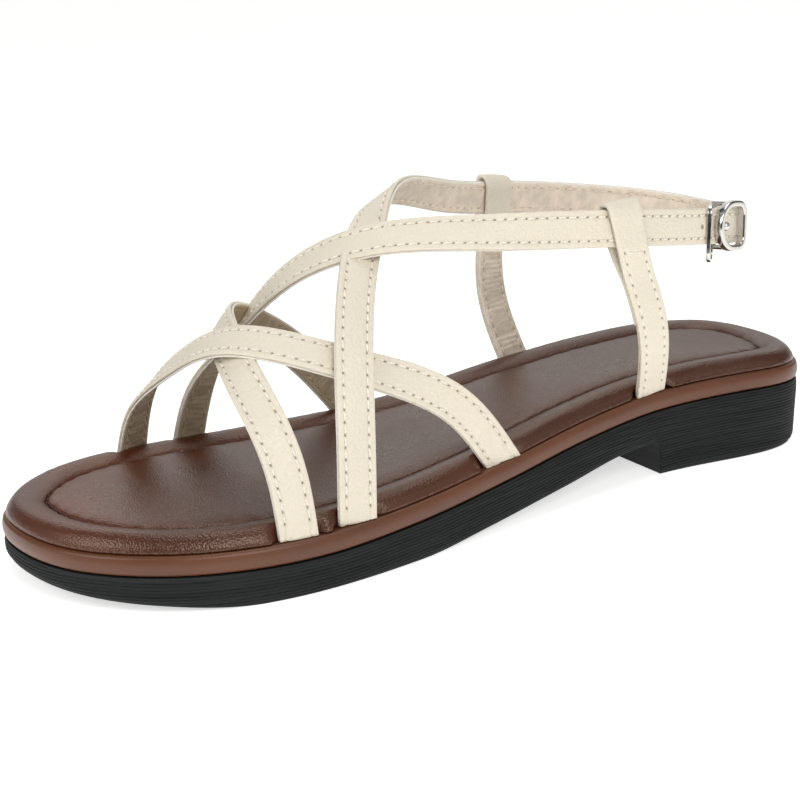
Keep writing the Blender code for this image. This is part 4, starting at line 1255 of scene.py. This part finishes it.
class SANDAL_OT_tabs(bpy.types.Operator):
    """Build the two quarter tabs with their loops round the ankle strap"""

    bl_idname = "sandal.tabs"
    bl_label = "Quarter tabs"

    def execute(self, context):
        """Leather, lining and stitches of each tab."""
        sizes = context.scene.sandal_sizes
        # The tabs get the lighter lining, which is painted light
        leather, lining, thread, lining_thread = strap_looks(context.scene.sandal_colours, True)
        inset = sizes.stitch_inset
        groove = 0.5 * STRAP_WIDTH - inset
        for key, tab in TABS.items():
            strip = tab["strip"]
            profile, count = tab_profile(inset, 1.0)
            holes = needle_holes(strip, FOOT_END, tab["box"], sizes.stitch_pitch)
            pits = hole_field(strip, profile, count, holes, inset)
            plain = (strip.along > tab["box"] + 0.0006)[:, None]
            # Past the stitched box the leather is plain, and it is widest where it folds over the strap
            fill = 0.00015 * np.exp(-((np.abs(profile[None, :, 0]) - groove) / GROOVE_SPREAD) ** 2)
            fill[:, count:] = 0.0
            width = 1.0 + 0.07 * np.exp(-((strip.along - tab["top"]) / 0.0052) ** 2)
            layers = lay_profile(strip, profile, width, (True, False), ripple=plain * fill - 0.00024 * pits)
            # Marks: X for the white board and the painted shade line in the recess, Y for the painted shade
            # in the needle holes
            marks = np.zeros(layers.shape)
            marks[:, :, 0] = profile[None, :, 2] * np.where(strip.along > tab["top"], 0.0, 1.0)[:, None]
            marks[:, :, 1] = np.clip(1.15 * pits, 0.0, 1.0)
            piece = skin("tab_" + key, layers, marks=marks)
            finish_piece(piece, "strap_leather", leather, "quarter_tab_" + key)

            stem = tab["stem"]
            lower = cut_band(stem, 0.0, stem.along[tab["back"]] - 0.0004)
            strip_rows, count = lining_profile(inset, -0.00003, -0.5 * TAB_THICKNESS)
            inner_holes = needle_holes(lower, FOOT_END, lower.along[-1] - 0.0008, sizes.stitch_pitch)
            pits = hole_field(lower, strip_rows, count, inner_holes, inset)
            creases = crease_field(lower, strip_rows, count, 3.0)
            relief = 0.0002 * pits + TAB_CREASE_DEPTH * creases
            layers = lay_profile(lower, strip_rows, None, (True, False), ripple=relief)
            # Marks: Y for painted shade in the needle holes, Z for painted shade in the creases
            marks = np.zeros(layers.shape)
            marks[:, :, 1] = pits
            marks[:, :, 2] = np.clip(creases, 0.0, 1.0) * 0.55
            piece = skin("tab_lining_" + key, layers, marks=marks)
            finish_piece(piece, "strap_leather", lining)

            face = [row_of_stitches(strip, holes, side * groove, 0.5 * TAB_WALL - 0.00022, sizes)
                    for side in (-1.0, 1.0)]
            point, _t, out, wide = (field[0] for field in strip.at(tab["box"] + 0.0001))
            for k in (-0.5, 0.5):
                centre = point + wide * (k * groove) + out * (0.5 * TAB_WALL - 0.00006)
                reach = wide * 0.0012
                face.append(tuple(np.array([v]) for v in (centre - reach, centre + reach, out)))
            sewn = thread_stitches("tab_stitches_" + key, *[np.concatenate(part) for part in zip(*face)],
                                   sizes.thread_radius, 0.00011)
            finish_piece(sewn, "strap_leather", thread)
            back = [row_of_stitches(lower, inner_holes, side * groove, -0.5 * TAB_THICKNESS + 0.00016, sizes)
                    for side in (-1.0, 1.0)]
            runs = [np.concatenate(part) for part in zip(*back)]
            sewn = thread_stitches("tab_lining_stitches_" + key, *runs, sizes.thread_radius, 0.00010)
            finish_piece(sewn, "strap_leather", lining_thread)
        return {"FINISHED"}


def rounded_rectangle(half_a, half_b, front_corner, rear_corner, steps=10):
    """Points of a rounded rectangle in its own plane, with its own corner radius at each end."""
    path = []
    for sx, sy, start in ((1, 1, 0), (-1, 1, 90), (-1, -1, 180), (1, -1, 270)):
        for k in range(steps + 1):
            angle = math.radians(start + 90.0 * k / steps)
            corner = front_corner if sx > 0 else rear_corner
            path.append((sx * (half_a - corner) + corner * math.cos(angle),
                         sy * (half_b - corner) + corner * math.sin(angle)))
    return np.array(path)


def ring_layers(path, normal, half_in, half_out, sides=24, power=0.45):
    """Closed ring of a bar whose section is between an oval and a rectangle, set by the power."""
    tangent = unit(np.roll(path, -1, axis=0) - np.roll(path, 1, axis=0))
    side = unit(np.cross(tangent, normal[None, :]))
    angles = 2.0 * math.pi * np.arange(sides) / sides
    cosine = np.sign(np.cos(angles)) * np.abs(np.cos(angles)) ** power
    sine = np.sign(np.sin(angles)) * np.abs(np.sin(angles)) ** power
    layers = (path[:, None, :] + side[:, None, :] * (half_in * cosine)[None, :, None]
              + normal[None, None, :] * (half_out * sine)[None, :, None])
    return np.concatenate([layers, layers[:1]])


def tube_layers(path, radii, sides=16):
    """Round bar along a path with a radius at each point."""
    path = np.array(path)
    tangent = unit(np.gradient(path, axis=0))
    side = np.cross(tangent[0], [0.3, 0.5, 0.8])
    layers = []
    angles = 2.0 * math.pi * np.arange(sides) / sides
    for point, way, radius in zip(path, tangent, radii):
        side = unit(side - way * np.dot(side, way))
        other = np.cross(way, side)
        layers.append(point + radius * (np.cos(angles)[:, None] * side + np.sin(angles)[:, None] * other))
    return np.array(layers)


def join_pieces(name, pieces):
    """Join meshes into one piece."""
    deselect()
    for piece in pieces:
        piece.select_set(True)
    bpy.context.view_layer.objects.active = pieces[0]
    bpy.ops.object.join()
    joined = bpy.context.object
    joined.name = name
    joined.data.name = name
    return joined


def buckle_place():
    """Centre of the buckle with its directions: to the front, outwards and up, and the centre of its pin."""
    band = ROUTES["d"]
    centre, tangent, out, wide = (field[0] for field in band.at(band.where_x(BUCKLE_STATION, True)))
    up, front = up_and_forward(tangent, wide)
    drop = -(0.5 * STRAP_THICKNESS + 2.0 * PART_GAP + PIN_RADIUS + FOLD_WALL)
    return centre, front, out, up, centre - front * (0.014 * BUCKLE_LENGTH) + out * drop


class SANDAL_OT_buckle(bpy.types.Operator):
    """Build the polished buckle with its prong, and the metal loop on the strap"""

    bl_idname = "sandal.buckle"
    bl_label = "Buckle"

    def execute(self, context):
        """Frame, prong, loop, and the folded strap end on the pin."""
        metal = look("polished_nickel_plate", nickel_plate)
        centre, front, out, up, pin = buckle_place()
        bar_half = 0.5 * BUCKLE_BAR
        bar_depth = 0.5 * FRAME_DEPTH
        lift = 0.5 * STRAP_THICKNESS + 1.5 * PART_GAP + bar_depth
        half_long = 0.5 * BUCKLE_LENGTH - bar_half
        half_up = 0.5 * BUCKLE_HEIGHT - bar_half
        flat = rounded_rectangle(half_long, half_up, FRAME_FRONT_CORNER, FRAME_REAR_CORNER)
        path = centre + front * flat[:, :1] + up * flat[:, 1:] + out * lift
        parts = [skin("frame", ring_layers(path, out, bar_half, bar_depth), close_ends=False)]
        post_up = 0.985 * half_up
        for sign in (1.0, -1.0):
            foot = pin + up * (sign * post_up)
            head = centre + up * (sign * post_up) + out * lift
            line = [foot - out * PIN_RADIUS, foot, 0.5 * (foot + head), head]
            parts.append(skin("post", tube_layers(line, [PIN_RADIUS] * 4), smooth_angle=40.0))
        line = [pin + up * (post_up * k) for k in (-1.0, -0.5, 0.0, 0.5, 1.0)]
        parts.append(skin("rod", tube_layers(line, [PIN_RADIUS * 0.96] * 5), smooth_angle=40.0))
        piece = join_pieces("buckle", parts)
        finish_piece(piece, "polished_metal", metal, "buckle_frame")

        knots = np.array([
            pin + front * 0.0010 + out * 0.0007, pin + front * 0.0014 + out * 0.0018, centre + front * 0.0016,
            centre + front * 0.0019 + out * 0.0014, centre + front * 0.0025 + out * 0.0024,
            centre + front * 0.0034 + out * 0.0028,
        ])
        chords = chord_lengths(knots)
        where = np.concatenate([np.linspace(0.0, chords[-1] - 0.0011, 26), chords[-1] + PRONG_BALL * np.sin(
            np.linspace(-0.37 * math.pi, 0.5 * math.pi, 18))])
        path = smooth_curve(chords, knots)(np.minimum(where, chords[-1]))
        tail = unit(knots[-1] - knots[-2])
        path = path + tail * np.clip(where - chords[-1], 0.0, None)[:, None]
        ball = np.sqrt(np.clip(PRONG_BALL ** 2 - (where - chords[-1]) ** 2, 1e-12, None))
        radii = np.where(where > chords[-1] - 0.0011, np.maximum(ball, 0.00003), PIN_RADIUS * 0.9)
        shank = skin("shank", tube_layers(path, radii, 20))
        around = PIN_RADIUS + PART_GAP + 0.0003
        ring = rounded_rectangle(around, around, around, around, 6)
        eye_path = pin + front * ring[:, :1] + out * ring[:, 1:]
        eye = skin("eye", ring_layers(eye_path, up, 0.0003, 0.5 * PRONG_EYE), close_ends=False)
        piece = join_pieces("prong", [shank, eye])
        finish_piece(piece, "polished_metal", metal, "buckle_prong")

        leather = look("coated_calf_leather", strap_leather, context.scene.sandal_colours)
        radius = PIN_RADIUS + PART_GAP + FOLD_WALL
        parts = []
        for sign in (1.0, -1.0):
            spots = np.linspace(0.0014, 0.5 * STRAP_WIDTH, 6)
            line = [pin + up * (sign * s) for s in spots]
            parts.append(skin("fold", tube_layers(line, [radius * 0.9] + [radius] * 4 + [radius * 0.9], 24)))
        piece = join_pieces("strap_c_fold", parts)
        finish_piece(piece, "strap_leather", leather)

        band = ROUTES["d"]
        point, tangent, out, wide = (field[0] for field in band.at(band.where_x(LOOP_STATION, True)))
        up, front = up_and_forward(tangent, wide)
        wire = 0.5 * LOOP_WIRE
        half_deep = 0.5 * LOOP_DEPTH - 0.8 * wire
        half_high = 0.5 * LOOP_HEIGHT - 0.8 * wire
        lean = math.radians(LOOP_LEAN)
        forth = out * math.cos(lean) - front * math.sin(lean)
        flat = rounded_rectangle(half_deep, half_high, LOOP_CORNER, LOOP_CORNER)
        path = point - up * LOOP_DROP + forth * flat[:, :1] + up * flat[:, 1:]
        normal = unit(np.cross(forth, up))
        piece = skin("metal_loop", ring_layers(path, normal, wire * 0.8, wire * 1.15), close_ends=False)
        finish_piece(piece, "polished_metal", metal, "strap_loop")
        return {"FINISHED"}


def studio_world(scene):
    """White behind the sandal; for light and reflections a grey sky with darker cards round the set."""
    world = bpy.data.worlds.new("studio")
    scene.world = world
    scene.view_settings.view_transform = "Standard"
    world.use_nodes = True
    tree = world.node_tree
    back = tree.nodes["Background"]
    place = node(tree, "ShaderNodeTexCoord")
    split = node(tree, "ShaderNodeSeparateXYZ", [("Vector", place.outputs["Generated"])])
    height = node(tree, "ShaderNodeMapRange", [("Value", split.outputs["Z"])], From_Min=-0.1, From_Max=1.0,
                  To_Min=0.0, To_Max=1.0)
    sky = ramp(tree, height.outputs[0], [(at, (grey,) * 3) for at, grey in SKY])
    round_about = node(tree, "ShaderNodeTexGradient", [("Vector", place.outputs["Generated"])],
                       gradient_type="RADIAL")
    flags = ramp(tree, round_about.outputs["Fac"], [(at, (grey,) * 3) for at, grey in FLAGS])
    cards = node(tree, "ShaderNodeMix", [], data_type="RGBA", blend_type="MULTIPLY")
    cards.inputs["Factor"].default_value = 1.0
    tree.links.new(sky, cards.inputs[6])
    tree.links.new(flags, cards.inputs[7])
    path = node(tree, "ShaderNodeLightPath")
    mix = node(tree, "ShaderNodeMix", data_type="RGBA")
    tree.links.new(path.outputs["Is Camera Ray"], mix.inputs["Factor"])
    tree.links.new(cards.outputs[2], mix.inputs[6])
    mix.inputs[7].default_value = (1.0, 1.0, 1.0, 1.0)
    tree.links.new(mix.outputs[2], back.inputs["Color"])
    back.inputs["Strength"].default_value = SKY_POWER


class SANDAL_OT_stage(bpy.types.Operator):
    """Set up the pale floor, the soft studio light and the camera"""

    bl_idname = "sandal.stage"
    bl_label = "Floor, light and camera"

    def execute(self, context):
        """Floor, world, three soft lights and the camera at the photograph's angle."""
        deselect()
        bpy.ops.mesh.primitive_plane_add(size=60.0, location=(0.0, 0.0, 0.0))
        floor = bpy.context.object
        floor.name = "floor"
        made, tree, shader = new_material("matt_paper_floor")
        place = node(tree, "ShaderNodeTexCoord")
        cloud = node(tree, "ShaderNodeTexNoise", [("Vector", place.outputs["Object"])], Scale=400.0)
        tone = tuple(context.scene.sandal_colours.floor)
        colour = ramp(tree, cloud.outputs["Fac"], ((0.3, shade(tone, 0.985)), (0.7, tone)))
        tree.links.new(colour, shader.inputs["Base Color"])
        shader.inputs["Roughness"].default_value = 0.9
        shader.inputs["Emission Color"].default_value = (1.0, 1.0, 1.0, 1.0)
        shader.inputs["Emission Strength"].default_value = FLOOR_GLOW
        floor.data.materials.append(made)
        studio_world(context.scene)
        for name, place_at, span, power in LAMPS:
            lamp = bpy.data.lights.new(name, "AREA")
            lamp.energy = power
            lamp.size = span
            holder = bpy.data.objects.new(name, lamp)
            context.scene.collection.objects.link(holder)
            holder.location = place_at
            aim = Vector((0.0, 0.0, 0.03)) - Vector(place_at)
            holder.rotation_euler = aim.to_track_quat("-Z", "Y").to_euler()
        lens = bpy.data.cameras.new("camera")
        holder = bpy.data.objects.new("camera", lens)
        context.scene.collection.objects.link(holder)
        right = Vector(CAMERA_RIGHT)
        back = -Vector(CAMERA_FORWARD)
        up = back.cross(right)
        rotation = np.array([right, up, back]).T
        matrix = Matrix([list(row) for row in rotation]).to_4x4()
        matrix.translation = Vector(CAMERA_PLACE)
        holder.matrix_world = matrix
        lens.sensor_width = 36.0
        lens.lens = CAMERA_LENS
        lens.clip_start = 0.01
        context.scene.camera = holder
        return {"FINISHED"}


OPERATORS = (
    SANDAL_OT_stage, SANDAL_OT_outsole, SANDAL_OT_midsole, SANDAL_OT_insole, SANDAL_OT_straps, SANDAL_OT_tabs,
    SANDAL_OT_buckle,
)


class SANDAL_PT_panel(bpy.types.Panel):
    """Panel that lists the pieces, sizes and colours"""

    bl_idname = "SANDAL_PT_panel"
    bl_label = "Cross strap sandal"
    bl_space_type = "VIEW_3D"
    bl_region_type = "UI"
    bl_category = "Sandal"

    def draw(self, context):
        """Buttons for the pieces, then the sizes and colours."""
        for operator in OPERATORS:
            self.layout.operator(operator.bl_idname)
        for group in (context.scene.sandal_sizes, context.scene.sandal_colours):
            for key in group.__annotations__:
                self.layout.prop(group, key)


CLASSES = (SandalSizes, SandalColours) + OPERATORS + (SANDAL_PT_panel,)


def register():
    """Register the classes and hang the properties on the scene."""
    for item in CLASSES:
        bpy.utils.register_class(item)
    bpy.types.Scene.sandal_sizes = bpy.props.PointerProperty(type=SandalSizes)
    bpy.types.Scene.sandal_colours = bpy.props.PointerProperty(type=SandalColours)


def unregister():
    """Take the properties and classes away again."""
    del bpy.types.Scene.sandal_colours
    del bpy.types.Scene.sandal_sizes
    for item in reversed(CLASSES):
        bpy.utils.unregister_class(item)


def main():
    """Build every piece."""
    register()
    bpy.ops.sandal.stage()
    bpy.ops.sandal.outsole()
    bpy.ops.sandal.midsole()
    bpy.ops.sandal.insole()
    bpy.ops.sandal.straps()
    bpy.ops.sandal.tabs()
    bpy.ops.sandal.buckle()


if __name__ == "__main__":
    main()
